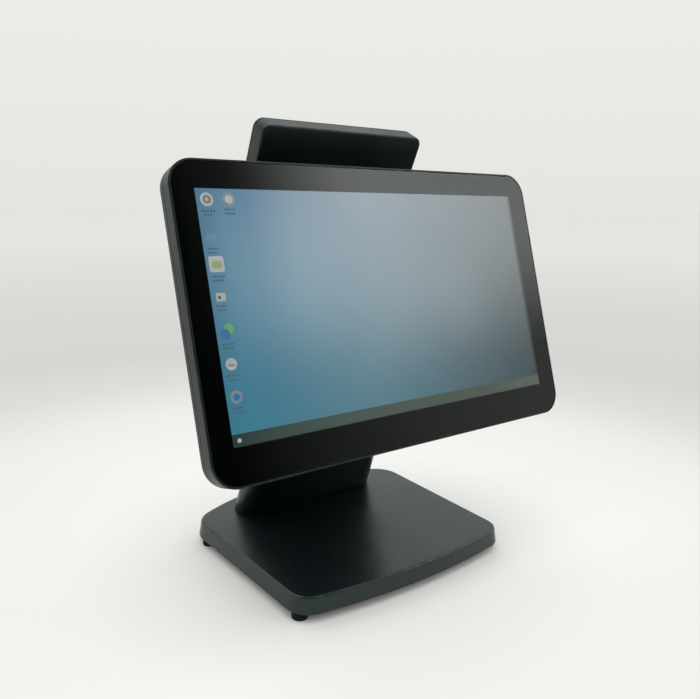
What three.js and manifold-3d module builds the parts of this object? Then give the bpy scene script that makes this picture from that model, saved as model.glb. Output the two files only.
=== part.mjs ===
// Countertop sales terminal: a touch screen head on a leaning neck and a weighted base,
// with a small customer display behind the top of the head. Millimetres, +Z up, floor at z = 0,
// the operator's side towards -Y.
import * as THREE from 'three';
import { mergeVertices } from 'three/addons/utils/BufferGeometryUtils.js';
import Module from 'manifold-3d';

const wasm = await Module();
wasm.setup();

// ---- driving dimensions -------------------------------------------------------------------
const GAP = 0.3;            // clearance left between neighbouring pieces
const WALL = 2.5;           // moulded wall thickness

const FOOT_H = 7.5;
const FOOT_R = 7;
const BASE_T = 15;
const BASE_FLARE = 2.3;     // how far the base sides lean out at the bottom
const BASE_HALF_W = 121.7;  // half width of the base top, level with the origin
const BASE_TAPER = 0.0307;  // gain in half width per mm towards the rear
const BASE_FRONT_Y = -116;
const BASE_REAR_Y = 116;
const BASE_FRONT_R = 625;
const BASE_REAR_R = 235;
const BASE_TOP = FOOT_H + BASE_T;

const NECK_Y = 74;          // centre of the neck at the base top
const NECK_LEAN = 0.4;      // forward run of the neck per mm of height
const NECK_W = 165;
const NECK_TAPER = 0.1;     // loss of neck width per mm of height
const NECK_D = 36;
const NECK_R = 17;
const NECK_TOP = 200.5;
const EAR_X = 52;           // centre of the neck frame's two ears

const HINGE_Y = -7;
const HINGE_Z = 220.5;

const TILT = THREE.MathUtils.degToRad(16.9);
const HEAD_Y = -71;         // centre of the picture area
const HEAD_Z = 253.8;
const PICTURE_W = 344.2;
const PICTURE_H = 193.6;
const MARGIN_SIDE = 20.5;
const MARGIN_TOP = 22.3;
const MARGIN_BOTTOM = 29.9;
const HEAD_R = 21;
const HEAD_FRONT = 1.8;     // front face ahead of the picture plane
const SEAM = -9.5;          // joint between front frame and rear housing
const HEAD_BACK = -17.7;
const BULGE_BACK = -47.7;
const BULGE_W = 300;
const BULGE_TOP = 88;
const BULGE_BOTTOM = -84;
const LIP = 2.2;            // frame edge visible round the glass

const CUST_LEAN = THREE.MathUtils.degToRad(25);
const CUST_W = 178;
const CUST_H = 66;
const CUST_T = 19;
const CUST_R = 8;
const CUST_DROP = 9;        // pivot below the case
const CUST_TOP_Y = -1;      // top edge of the face turned to the operator
const CUST_TOP_Z = 400.5;

const HEAD_W = PICTURE_W + 2 * MARGIN_SIDE;
const HEAD_H = PICTURE_H + MARGIN_TOP + MARGIN_BOTTOM;
const HEAD_CY = (MARGIN_TOP - MARGIN_BOTTOM) / 2;

// ---- materials ----------------------------------------------------------------------------
function finish(color, roughness, metalness) {
  return new THREE.MeshStandardMaterial({ color, roughness, metalness });
}

const black = finish('#1f2224', 0.5, 0);
const charcoal = finish('#34383a', 0.55, 0);
const rubber = finish('#111213', 0.85, 0);
const glass = finish('#0a0d0f', 0.06, 0);
const picture = finish('#5a86ad', 0.3, 0);
const steel = finish('#a8abad', 0.35, 1);
const zinc = finish('#8d9092', 0.45, 1);
const darkSteel = finish('#3a3d3f', 0.45, 1);
const alloy = finish('#b9bcbe', 0.4, 1);
const board = finish('#1d4a33', 0.5, 0);
const nickel = finish('#c4c5c3', 0.25, 1);
const lens = finish('#15120f', 0.08, 0);
const tube = finish('#26332f', 0.15, 0);

// ---- solid helpers ------------------------------------------------------------------------
function toManifold(geometry) {
  const bare = geometry.clone();
  bare.deleteAttribute('normal');
  bare.deleteAttribute('uv');
  const merged = mergeVertices(bare, 1e-4);
  return new wasm.Manifold(new wasm.Mesh({
    numProp: 3,
    vertProperties: new Float32Array(merged.attributes.position.array),
    triVerts: new Uint32Array(merged.index.array),
  }));
}

function toGeometry(manifold) {
  const mesh = manifold.getMesh();
  const geometry = new THREE.BufferGeometry();
  geometry.setAttribute('position', new THREE.BufferAttribute(mesh.vertProperties, 3));
  geometry.setIndex(new THREE.BufferAttribute(mesh.triVerts, 1));
  geometry.computeVertexNormals();
  return geometry;
}

function cut(base, ...tools) {
  return toGeometry(tools.reduce((left, tool) => left.subtract(toManifold(tool)), toManifold(base)));
}

function join(base, ...others) {
  return toGeometry(others.reduce((sum, other) => sum.add(toManifold(other)), toManifold(base)));
}

// A skin over loops of [x, y, z] points, all wound the same way; closed loops make a ring.
function loft(loops, ring = false) {
  const n = loops[0].length;
  const index = [];
  const rows = ring ? loops.length : loops.length - 1;
  for (let k = 0; k < rows; k += 1) {
    const a = k * n;
    const b = ((k + 1) % loops.length) * n;
    for (let i = 0; i < n; i += 1) {
      const j = (i + 1) % n;
      index.push(a + i, a + j, b + j, a + i, b + j, b + i);
    }
  }
  if (!ring) {
    const last = (loops.length - 1) * n;
    for (let i = 1; i < n - 1; i += 1) {
      index.push(0, i + 1, i, last, last + i, last + i + 1);
    }
  }
  const geometry = new THREE.BufferGeometry();
  geometry.setAttribute('position', new THREE.Float32BufferAttribute(loops.flat(2), 3));
  geometry.setIndex(index);
  geometry.computeVertexNormals();
  return geometry;
}

function level(outline, z, dx = 0, dy = 0) {
  return outline.map(([x, y]) => [x + dx, y + dy, z]);
}

function roundRect(w, h, r, cx = 0, cy = 0, steps = 5) {
  const points = [];
  const corners = [[1, 1, 0], [-1, 1, 90], [-1, -1, 180], [1, -1, 270]];
  for (const [sx, sy, start] of corners) {
    for (let k = 0; k <= steps; k += 1) {
      const a = THREE.MathUtils.degToRad(start + (90 * k) / steps);
      points.push([
        cx + sx * (w / 2 - r) + r * Math.cos(a),
        cy + sy * (h / 2 - r) + r * Math.sin(a),
      ]);
    }
  }
  return points;
}

function slab(outline, z0, z1) {
  return loft([level(outline, z0), level(outline, z1)]);
}

function box(x0, x1, y0, y1, z0, z1) {
  const geometry = new THREE.BoxGeometry(x1 - x0, y1 - y0, z1 - z0);
  return geometry.translate((x0 + x1) / 2, (y0 + y1) / 2, (z0 + z1) / 2);
}

// Turned solid about Z from [radius, z] pairs listed from the bottom up.
function turned(profile, x = 0, y = 0, n = 12) {
  return loft(profile.map(([r, z]) => circle(r, z, x, y, n)));
}

function circle(r, z, x, y, n) {
  const points = [];
  for (let i = 0; i < n; i += 1) {
    const a = (2 * Math.PI * i) / n;
    points.push([x + r * Math.cos(a), y + r * Math.sin(a), z]);
  }
  return points;
}

function rod(r, x, y, z0, z1, n = 12) {
  return turned([[r, z0], [r, z1]], x, y, n);
}

// The same solids lying along X: sections are drawn in (y, z) and run from x0 to x1.
const ALONG_X = new THREE.Matrix4().makeBasis(
  new THREE.Vector3(0, 1, 0),
  new THREE.Vector3(0, 0, 1),
  new THREE.Vector3(1, 0, 0),
);

function axle(profile, y, z, n = 16) {
  return turned(profile, y, z, n).applyMatrix4(ALONG_X);
}

function sidePlate(outline, x0, x1) {
  return slab(outline, x0, x1).applyMatrix4(ALONG_X);
}

// Screw along Z: shank from zTip to zSeat, head from zSeat to zTop, hexagon socket in the head.
function screw(x, y, zTip, zSeat, zTop, shankR, headR) {
  const profile = [[shankR, zTip], [shankR, zSeat], [headR, zSeat], [headR, zTop]];
  const solid = turned(zTop > zTip ? profile : profile.reverse(), x, y, 10);
  const bottom = zSeat + (zTop - zSeat) * 0.4;
  const mouth = zTop + Math.sign(zTop - zTip);
  return cut(solid, rod(headR * 0.5, x, y, Math.min(bottom, mouth), Math.max(bottom, mouth), 6));
}

function mesh(name, geometry, material) {
  const result = new THREE.Mesh(geometry, material);
  result.name = name;
  return result;
}

const MIRROR = [['l', -1], ['r', 1]];

// ---- base ---------------------------------------------------------------------------------
function arc(cx, cy, r, from, to, steps) {
  const points = [];
  for (let k = 0; k <= steps; k += 1) {
    const a = from + ((to - from) * k) / steps;
    points.push([cx + r * Math.cos(a), cy + r * Math.sin(a)]);
  }
  return points;
}

// Centre of the corner fillet between the tapering side and the front or rear arc.
function cornerCentre(arcY, arcR, r) {
  const offset = r * Math.hypot(1, BASE_TAPER);
  const sideX = (y) => BASE_HALF_W + BASE_TAPER * y - offset;
  let inside = 0;
  let outside = arcY > 0 ? -200 : 200;
  for (let i = 0; i < 60; i += 1) {
    const y = (inside + outside) / 2;
    if (Math.hypot(sideX(y), y - arcY) > arcR - r) outside = y;
    else inside = y;
  }
  return [sideX(inside), inside];
}

function baseOutline(inset) {
  const frontR = 20;
  const rearR = 28;
  const side = Math.atan(BASE_TAPER);
  const frontY = BASE_FRONT_Y + BASE_FRONT_R;
  const rearY = BASE_REAR_Y - BASE_REAR_R;
  const [fx, fy] = cornerCentre(frontY, BASE_FRONT_R, frontR);
  const [rx, ry] = cornerCentre(rearY, BASE_REAR_R, rearR);
  const front = Math.atan2(fy - frontY, fx);
  const rear = Math.atan2(ry - rearY, rx);
  return [
    ...arc(0, frontY, BASE_FRONT_R - inset, -Math.PI - front, front, 8),
    ...arc(fx, fy, frontR - inset, front, -side, 5).slice(1),
    ...arc(rx, ry, rearR - inset, -side, rear, 5),
    ...arc(0, rearY, BASE_REAR_R - inset, rear, Math.PI - rear, 10).slice(1),
    ...arc(-rx, ry, rearR - inset, Math.PI - rear, Math.PI + side, 5).slice(1),
    ...arc(-fx, fy, frontR - inset, Math.PI + side, Math.PI - front, 5).slice(0, -1),
  ];
}

const BOSSES = [[-92, -82], [92, -82], [-92, 66], [92, 66]];
const FEET = [['front_l', -112, -94], ['front_r', 112, -94], ['rear_l', -117.5, 65], ['rear_r', 117.5, 65]];
const BOTTOM_T = 1.8;
const WEIGHT_T = 5;
const WEIGHT_Z = FOOT_H + BOTTOM_T + GAP;
const WEIGHT_TOP = WEIGHT_Z + WEIGHT_T;

function baseCover() {
  const outer = loft([
    level(baseOutline(-BASE_FLARE), FOOT_H),
    level(baseOutline(-0.2), BASE_TOP - 1.6),
    level(baseOutline(0.5), BASE_TOP - 0.5),
    level(baseOutline(1.7), BASE_TOP),
  ]);
  const inner = loft([
    level(baseOutline(WALL - BASE_FLARE), FOOT_H - 1),
    level(baseOutline(WALL), BASE_TOP - WALL),
  ]);
  const shell = cut(outer, inner, box(-70, 70, NECK_Y - 12, NECK_Y + 14, 0, BASE_TOP + 1));
  const bosses = BOSSES.map(([x, y]) => rod(4.5, x, y, WEIGHT_Z + 1, BASE_TOP - 1));
  const bores = BOSSES.map(([x, y]) => rod(2, x, y, FOOT_H, BASE_TOP - 4));
  return cut(join(shell, ...bosses), ...bores);
}

function baseWeightPlate() {
  const plate = slab(baseOutline(WALL + 5), WEIGHT_Z, WEIGHT_TOP);
  const bosses = BOSSES.map(([x, y]) => rod(5, x, y, 0, BASE_TOP));
  const bolts = MIRROR.map(([, s]) => rod(2.4, s * 40, NECK_Y + 8, 0, BASE_TOP));
  return cut(plate, ...bosses, ...bolts);
}

function baseBottomCover() {
  const plate = slab(baseOutline(WALL - BASE_FLARE + GAP + 0.6), FOOT_H, FOOT_H + BOTTOM_T);
  return cut(plate, ...BOSSES.map(([x, y]) => rod(3.8, x, y, 0, BASE_TOP)));
}

function baseFoot(x, y) {
  const top = FOOT_H - GAP;
  return turned([[FOOT_R - 0.8, 0], [FOOT_R, 1], [FOOT_R, top]], x, y, 20);
}

function buildBase() {
  const group = new THREE.Group();
  group.add(mesh('base_cover', baseCover(), black));
  group.add(mesh('base_weight_plate', baseWeightPlate(), darkSteel));
  group.add(mesh('base_bottom_cover', baseBottomCover(), charcoal));
  for (const [name, x, y] of FEET) {
    group.add(mesh(`base_foot_${name}`, baseFoot(x, y), rubber));
  }
  BOSSES.forEach(([x, y], i) => {
    const solid = screw(x, y, BASE_TOP - 5, FOOT_H + BOTTOM_T, FOOT_H + 0.2, 1.7, 3.4);
    group.add(mesh(`base_screw_${i + 1}`, solid, zinc));
  });
  return group;
}

// ---- neck and hinge -----------------------------------------------------------------------
function neckOutline(z, inset) {
  const rise = z - BASE_TOP;
  const w = NECK_W - NECK_TAPER * rise - 2 * inset;
  return level(roundRect(w, NECK_D - 2 * inset, NECK_R - inset, 0, NECK_Y - NECK_LEAN * rise), z);
}

function neckShell() {
  const foot = BASE_TOP + GAP;
  const outer = loft([
    neckOutline(foot, 0),
    neckOutline(NECK_TOP - 2, 0),
    neckOutline(NECK_TOP - 0.6, 0.6),
    neckOutline(NECK_TOP, 2),
  ]);
  const inner = loft([neckOutline(BASE_TOP - 1, WALL), neckOutline(NECK_TOP - WALL, WALL)]);
  const slots = MIRROR.map(([, s]) => box(
    s * EAR_X - 2.4,
    s * EAR_X + 2.4,
    HINGE_Y - 8,
    HINGE_Y + 30,
    NECK_TOP - 15,
    NECK_TOP + 5,
  ));
  return cut(outer, inner, ...slots);
}

// Everything on one side of the leaning mid plane of the neck.
function neckHalfSpace(front) {
  const lean = Math.atan(NECK_LEAN);
  const half = front ? box(-120, 120, -80, GAP / 2, -60, 260) : box(-120, 120, -GAP / 2, 80, -60, 260);
  return half.rotateX(lean).translate(0, NECK_Y, BASE_TOP);
}

function neckRearCover() {
  const cableNotch = box(-13, 13, NECK_Y + 5, NECK_Y + 40, BASE_TOP - 5, BASE_TOP + 14);
  const topY = NECK_Y - NECK_LEAN * (NECK_TOP - BASE_TOP);
  const cableSlot = box(-30, 30, topY + 4, topY + 13, NECK_TOP - 8, NECK_TOP + 2);
  return cut(neckShell(), neckHalfSpace(true), cableNotch, cableSlot);
}

function neckFrame() {
  const lean = Math.atan(NECK_LEAN);
  const foot = WEIGHT_TOP + GAP;
  const upright = box(-60, 60, -1.5, 1.5, -6, 182).rotateX(lean).translate(0, NECK_Y, BASE_TOP);
  const flange = box(-60, 60, NECK_Y - 2, NECK_Y + 13, foot, foot + 3);
  const ear = (z, dy) => [NECK_Y - NECK_LEAN * (z - BASE_TOP) + dy, z];
  const outline = [ear(142, -11), ear(142, 11), ear(208, 12), ear(214, -12)];
  const ears = MIRROR.flatMap(([, s]) => [
    sidePlate(outline, s * EAR_X - 1.5, s * EAR_X + 1.5),
    axle([[13, s * EAR_X - 1.5], [13, s * EAR_X + 1.5]], HINGE_Y, HINGE_Z, 24),
  ]);
  const bore = axle([[4.4, -70], [4.4, 70]], HINGE_Y, HINGE_Z);
  const bolts = MIRROR.map(([, s]) => rod(2.4, s * 40, NECK_Y + 8, 0, BASE_TOP));
  return cut(join(upright, flange, ...ears), bore, ...bolts);
}

function tubeAlongX(outerR, innerR, x0, x1, n) {
  const ring = (r, x) => circle(r, x, HINGE_Y, HINGE_Z, n);
  return loft([ring(outerR, x0), ring(outerR, x1), ring(innerR, x1), ring(innerR, x0)], true)
    .applyMatrix4(ALONG_X);
}

function hingeShaft() {
  const end = EAR_X + 9;
  const profile = [[6.5, -end - 3], [6.5, -end], [4, -end], [4, end], [6.5, end], [6.5, end + 3]];
  return axle(profile, HINGE_Y, HINGE_Z, 16);
}

function buildNeck() {
  const group = new THREE.Group();
  group.add(mesh('neck_front_cover', cut(neckShell(), neckHalfSpace(false)), black));
  group.add(mesh('neck_rear_cover', neckRearCover(), black));
  group.add(mesh('neck_frame', neckFrame(), darkSteel));
  for (const [side, s] of MIRROR) {
    const seat = WEIGHT_TOP + GAP + 3 + GAP;
    const bolt = screw(s * 40, NECK_Y + 8, WEIGHT_Z + 1, seat, seat + 2.6, 2.1, 4);
    group.add(mesh(`neck_bolt_${side}`, bolt, zinc));
    const inner = s * (EAR_X - 1.5 - GAP);
    const outer = s * (EAR_X - 17);
    const unit = tubeAlongX(10, 4.4, Math.min(inner, outer), Math.max(inner, outer), 20);
    group.add(mesh(`hinge_unit_${side}`, unit, darkSteel));
  }
  const spacer = tubeAlongX(8.5, 4.4, -(EAR_X - 17.4), EAR_X - 17.4, 20);
  group.add(mesh('hinge_spacer', spacer, black));
  return group;
}

// ---- display head: x to the right, y up the screen, z out of the screen ---------------------
const HINGE_UP = (HINGE_Y - HEAD_Y) * Math.sin(TILT) + (HINGE_Z - HEAD_Z) * Math.cos(TILT);
const HINGE_OUT = -(HINGE_Y - HEAD_Y) * Math.cos(TILT) + (HINGE_Z - HEAD_Z) * Math.sin(TILT);
const BRACKET_T = 2.5;
const BRACKET_Z = BULGE_BACK - GAP;
const VESA = 75;

function headOutline(z, inset) {
  return level(roundRect(HEAD_W - 2 * inset, HEAD_H - 2 * inset, HEAD_R - inset, 0, HEAD_CY, 8), z);
}

function frontFrame() {
  const outer = loft([
    headOutline(SEAM, 0.3),
    headOutline(SEAM + 0.6, 0),
    headOutline(HEAD_FRONT - 1.2, 0),
    headOutline(HEAD_FRONT - 0.35, 0.4),
    headOutline(HEAD_FRONT, 1.3),
  ]);
  const seat = slab(roundRect(HEAD_W - 2 * LIP + 0.6, HEAD_H - 2 * LIP + 0.6, HEAD_R - LIP, 0,
    HEAD_CY, 8), -GAP, HEAD_FRONT + 1);
  const through = slab(roundRect(366, 226, 8, 0, HEAD_CY, 3), SEAM - 1, HEAD_FRONT + 1);
  return cut(outer, seat, through);
}

function touchGlass() {
  const outline = (inset, z) => level(roundRect(
    HEAD_W - 2 * (LIP + inset),
    HEAD_H - 2 * (LIP + inset),
    HEAD_R - LIP - inset,
    0,
    HEAD_CY,
    8,
  ), z);
  return loft([outline(0, 0), outline(0, HEAD_FRONT - 0.4), outline(0.4, HEAD_FRONT)]);
}

function chassisPlate() {
  const plate = slab(roundRect(362, 222, 5, 0, HEAD_CY, 2), -8.4, -7.2);
  const cableHole = box(-70, -40, -70, -58, -10, -5);
  const lampHole = box(60, 80, -96, -88, -10, -5);
  return cut(plate, cableHole, lampHole);
}

const HOUSING_SCREWS = [[-158, 100], [158, 100], [-158, -108], [158, -108]];
const BRACKET_SCREWS = [[-1, 1], [1, 1], [-1, -1], [1, -1]]
  .map(([sx, sy]) => [(sx * VESA) / 2, HINGE_UP + (sy * VESA) / 2]);
const ARM_SCREWS = [[-24, 58], [24, 58]];

function bulgeOutline(z, inset, topDraft, sideDraft) {
  const top = BULGE_TOP - topDraft - inset;
  const bottom = BULGE_BOTTOM + inset;
  const w = BULGE_W - 2 * (sideDraft + inset);
  return level(roundRect(w, top - bottom, 12, 0, (top + bottom) / 2, 4), z);
}

function rearHousing() {
  const top = SEAM - GAP;
  const tray = loft([
    headOutline(HEAD_BACK, 3.2),
    headOutline(HEAD_BACK + 0.9, 1.2),
    headOutline(HEAD_BACK + 3, 0.1),
    headOutline(top - 0.6, 0),
    headOutline(top, 0.3),
  ]);
  const space = loft([headOutline(HEAD_BACK + WALL, WALL), headOutline(0, WALL)]);
  const opening = loft([
    bulgeOutline(HEAD_BACK - 2, WALL + 1, 0, 0),
    bulgeOutline(HEAD_BACK + 4, WALL + 1, 0, 0),
  ]);
  const buttonSlot = box(HEAD_W / 2 - 5, HEAD_W / 2 + 2, -102.3, -87.7, -14.6, -10.8);
  const holes = HOUSING_SCREWS.flatMap(([x, y]) => [
    rod(1.8, x, y, -20, -10, 10),
    rod(3.4, x, y, -20, HEAD_BACK + 1.5, 10),
  ]);
  return cut(tray, space, opening, buttonSlot, ...holes);
}

function backCover() {
  const outer = loft([
    bulgeOutline(BULGE_BACK, 3, 6, 8),
    bulgeOutline(BULGE_BACK + 0.9, 1, 6, 8),
    bulgeOutline(BULGE_BACK + 3, 0, 5.4, 7.3),
    bulgeOutline(HEAD_BACK - GAP, 0, 0, 0),
  ]);
  const space = loft([
    bulgeOutline(BULGE_BACK + WALL, WALL, 6, 8),
    bulgeOutline(HEAD_BACK + 1, WALL, 0, 0),
  ]);
  const socketOpening = box(-105, 67, BULGE_BOTTOM - 2, BULGE_BOTTOM + 5, -41, -23);
  const ventSlots = [];
  for (let i = 0; i < 10; i += 1) {
    const x = -99 + 22 * i;
    ventSlots.push(box(x - 8, x + 8, BULGE_TOP - 12, BULGE_TOP + 6, -36, -33.6));
    ventSlots.push(box(x - 8, x + 8, BULGE_TOP - 12, BULGE_TOP + 6, -29, -26.6));
  }
  const speakerSlots = MIRROR.flatMap(([, s]) => [0, 1, 2, 3].map((k) => box(
    s * 125 - 9.5,
    s * 125 + 9.5,
    BULGE_BOTTOM - 2,
    BULGE_BOTTOM + 5,
    -24 - 4 * k,
    -22.4 - 4 * k,
  )));
  const holes = [
    ...BRACKET_SCREWS.map(([x, y]) => rod(2.4, x, y, -55, -40, 12)),
    ...ARM_SCREWS.map(([x, y]) => rod(1.9, x, y, -55, -40, 12)),
  ];
  return cut(outer, space, socketOpening, ...ventSlots, ...speakerSlots, ...holes);
}

function headBracket() {
  const back = BRACKET_Z - BRACKET_T;
  const plate = box(-(EAR_X + 6), EAR_X + 6, HINGE_UP - 46, HINGE_UP + 46, back, BRACKET_Z);
  const outline = [[HINGE_UP - 26, -(back + 0.5)], [HINGE_UP + 26, -(back + 0.5)],
    [HINGE_UP + 11, -(HINGE_OUT + 6)], [HINGE_UP - 11, -(HINGE_OUT + 6)]];
  const ears = MIRROR.flatMap(([, s]) => {
    const inner = EAR_X + 1.5 + 2 * GAP;
    const x0 = Math.min(s * inner, s * (inner + 3));
    const points = outline.map(([up, depth]) => [up, -depth]);
    return [
      sidePlate([...points].reverse(), x0, x0 + 3),
      axle([[12, x0], [12, x0 + 3]], HINGE_UP, HINGE_OUT, 24),
    ];
  });
  const bore = axle([[4.4, -70], [4.4, 70]], HINGE_UP, HINGE_OUT);
  return cut(join(plate, ...ears), bore, ...BRACKET_SCREWS.map(([x, y]) => rod(2.4, x, y, -60, -40, 12)));
}

// ---- electronics inside the head ------------------------------------------------------------
const BOARD_Z = -24;
const BOARD_T = 1.6;
const SOCKET_Z = BOARD_Z - BOARD_T - GAP;
const SOCKET_MOUTH = BULGE_BOTTOM + 0.2;
// name, centre across, width, depth off the board, length
const SOCKETS = [
  ['socket_dc', -96, 11, 11, 14],
  ['socket_lan', -77, 16, 13.5, 16],
  ['socket_usb_a', -58, 13.4, 14, 15],
  ['socket_usb_b', -41, 13.4, 14, 15],
  ['socket_drawer', -22, 13.4, 12.5, 15],
  ['socket_serial', 4, 30, 12.5, 13],
  ['socket_monitor', 38, 30, 12.5, 13],
];

function socketBody([, x, w, d, length], inset = 0) {
  return box(x - w / 2 + inset, x + w / 2 - inset, SOCKET_MOUTH, SOCKET_MOUTH + length,
    SOCKET_Z - d + inset, SOCKET_Z - inset);
}

// Prism running up the screen: its section is drawn in (x, -z).
function upSlab(outline, y0, y1) {
  return slab(outline, y0, y1).rotateX(-Math.PI / 2);
}

function upRod(r, x, z, y0, y1, n) {
  return rod(r, x, -z, y0, y1, n).rotateX(-Math.PI / 2);
}

function socketShape(spec) {
  const [name, x, w, d] = spec;
  const body = socketBody(spec);
  const mid = SOCKET_Z - d / 2;
  const y0 = SOCKET_MOUTH - 1;
  const y1 = SOCKET_MOUTH + 11;
  if (name === 'socket_dc') {
    return join(cut(body, upRod(3.2, x, mid, y0, y1, 14)), upRod(1, x, mid, y0 + 3, y1 + 1, 8));
  }
  if (name === 'socket_lan') {
    return cut(body, box(x - 6, x + 6, y0, y1, mid - 4.6, mid + 4.2));
  }
  if (name === 'socket_drawer') {
    return cut(body, box(x - 4.9, x + 4.9, y0, y1, mid - 4.2, mid + 3));
  }
  if (name.startsWith('socket_usb')) {
    const ports = [-3.5, 3.5].map((dz) => box(x - 6, x + 6, y0, y1, mid + dz - 2.4, mid + dz + 2.4));
    const tongues = [-3.5, 3.5].map((dz) => box(x - 5.2, x + 5.2, y0 + 2, y1 + 1, mid + dz - 0.2,
      mid + dz + 1.6));
    return join(cut(body, ...ports), ...tongues);
  }
  const shell = [[-8.5, -4], [7, -4], [8.5, -2], [8.5, 2], [7, 4], [-8.5, 4]];
  return join(body, upSlab(shell.map(([dx, dz]) => [x + dx, dz - mid]), y0 - 2, y0 + 3));
}

function socketPlate() {
  const plate = box(-108, 70, BULGE_BOTTOM + WALL + GAP, BULGE_BOTTOM + WALL + GAP + 1, -44, -21);
  const holes = [...SOCKETS, AUDIO].map((spec) => socketBody(spec, -GAP));
  return cut(plate, ...holes);
}

const AUDIO = ['socket_audio', 61, 8, 9, 13];

function audioSocket() {
  return cut(socketBody(AUDIO), upRod(1.8, AUDIO[1], SOCKET_Z - 4.5, SOCKET_MOUTH - 1, SOCKET_MOUTH + 9, 10));
}

function mainboard() {
  const plate = box(-110, 70, BULGE_BOTTOM + 5, 50, BOARD_Z - BOARD_T, BOARD_Z);
  const mounts = [[-104, 44], [64, 44], [-104, -40], [64, -40]];
  return cut(plate, ...mounts.map(([x, y]) => rod(1.8, x, y, -40, -10, 10)));
}

function heatsink() {
  const fins = 9;
  const pitch = (60 - 1.6) / (fins - 1);
  const base = box(-60, 0, -30, 30, SOCKET_Z - 3.2, SOCKET_Z);
  const blades = [];
  for (let i = 0; i < fins; i += 1) {
    blades.push(box(-60 + pitch * i, -58.4 + pitch * i, -30, 30, SOCKET_Z - 14, SOCKET_Z - 3));
  }
  return join(base, ...blades);
}

function solidStateDrive() {
  return box(78, 138, -40, 50, -16.4, -9.4);
}

function speaker(s) {
  const block = box(s * 125 - 11.5, s * 125 + 11.5, BULGE_BOTTOM + WALL + 3, -42, -36, -20);
  const throat = box(s * 125 - 9.5, s * 125 + 9.5, -90, -74, -34, -22);
  return cut(block, throat);
}

function powerButton() {
  const face = HEAD_W / 2 - 0.2;
  const wall = HEAD_W / 2 - WALL;
  const cap = box(wall - 1.5, face, -102, -88, -14.3, -11.1);
  const collar = box(wall - GAP - 1.2, wall - GAP, -104, -86, -15, -10.2);
  return join(cap, collar);
}

function switchBoard() {
  const plate = box(182, 183.6, -110, -80, -15, -10);
  const plunger = axle([[1.6, 183], [1.6, 186.8]], -95, -12.7, 12);
  return join(plate, plunger);
}

function buildHead() {
  const group = new THREE.Group();
  group.add(mesh('touch_glass', touchGlass(), glass));
  group.add(mesh('front_frame', frontFrame(), charcoal));
  group.add(mesh('lcd_module', box(-179.7, 179.7, -110, 106, -6, -0.8), picture));
  group.add(mesh('chassis_plate', chassisPlate(), zinc));
  group.add(mesh('rear_housing', rearHousing(), black));
  group.add(mesh('back_cover', backCover(), black));
  HOUSING_SCREWS.forEach(([x, y], i) => {
    const solid = screw(x, y, -9.6, HEAD_BACK + 1.2, HEAD_BACK + 0.1, 1.5, 3.1);
    group.add(mesh(`housing_screw_${i + 1}`, solid, zinc));
  });
  group.add(mesh('head_bracket', headBracket(), darkSteel));
  BRACKET_SCREWS.forEach(([x, y], i) => {
    const seat = BRACKET_Z - BRACKET_T - GAP;
    group.add(mesh(`bracket_screw_${i + 1}`, screw(x, y, -42.5, seat, seat - 2.4, 2, 3.8), zinc));
  });
  const shaft = hingeShaft();
  shaft.translate(0, -HINGE_Y, -HINGE_Z).rotateX(TILT - Math.PI / 2).translate(0, HINGE_UP, HINGE_OUT);
  group.add(mesh('hinge_shaft', shaft, steel));
  group.add(mesh('mainboard', mainboard(), board));
  group.add(mesh('heatsink', heatsink(), alloy));
  group.add(mesh('solid_state_drive', solidStateDrive(), alloy));
  for (const [side, s] of MIRROR) {
    group.add(mesh(`speaker_${side}`, speaker(s), rubber));
  }
  group.add(mesh('socket_plate', socketPlate(), zinc));
  for (const spec of SOCKETS) {
    const plain = spec[0] === 'socket_dc' || spec[0] === 'socket_drawer';
    group.add(mesh(spec[0], socketShape(spec), plain ? rubber : nickel));
  }
  group.add(mesh('socket_audio', audioSocket(), rubber));
  group.add(mesh('power_button', powerButton(), rubber));
  group.add(mesh('switch_board', switchBoard(), board));
  group.rotation.x = Math.PI / 2 - TILT;
  group.position.set(0, HEAD_Y, HEAD_Z);
  return group;
}

// ---- customer display: x to the right, y up from its pivot, z towards the operator ----------
const CUST_SPAN = CUST_H + CUST_DROP;
const CUST_Y = CUST_TOP_Y + CUST_SPAN * Math.sin(CUST_LEAN) + (CUST_T / 2) * Math.cos(CUST_LEAN);
const CUST_Z = CUST_TOP_Z - CUST_SPAN * Math.cos(CUST_LEAN) + (CUST_T / 2) * Math.sin(CUST_LEAN);
const PIVOT_UP = (CUST_Y - HEAD_Y) * Math.sin(TILT) + (CUST_Z - HEAD_Z) * Math.cos(TILT);
const PIVOT_OUT = -(CUST_Y - HEAD_Y) * Math.cos(TILT) + (CUST_Z - HEAD_Z) * Math.sin(TILT);
const CUST_MID = CUST_DROP + CUST_H / 2;
const CUST_SPLIT = -6.3;
const KNUCKLE_R = 7;

function customerOutline(z, inset) {
  return level(roundRect(CUST_W - 2 * inset, CUST_H - 2 * inset, CUST_R - inset, 0, CUST_MID, 6), z);
}

function customerCase() {
  const outer = loft([
    customerOutline(CUST_SPLIT, 0.2),
    customerOutline(CUST_SPLIT + 0.5, 0),
    customerOutline(CUST_T / 2 - 1.4, 0),
    customerOutline(CUST_T / 2 - 0.4, 0.4),
    customerOutline(CUST_T / 2, 1.3),
  ]);
  const space = loft([customerOutline(-10, 2.2), customerOutline(CUST_T / 2 - 2.2, 2.2)]);
  const lugs = MIRROR.flatMap(([, s]) => [
    axle([[KNUCKLE_R, s * 19 - 4.7], [KNUCKLE_R, s * 19 + 4.7]], 0, 0, 20),
    box(s * 19 - 4.7, s * 19 + 4.7, 0, CUST_DROP + 1, -5, KNUCKLE_R - 1),
  ]);
  return cut(join(cut(outer, space), ...lugs), axle([[2.9, -40], [2.9, 40]], 0, 0, 16));
}

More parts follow.
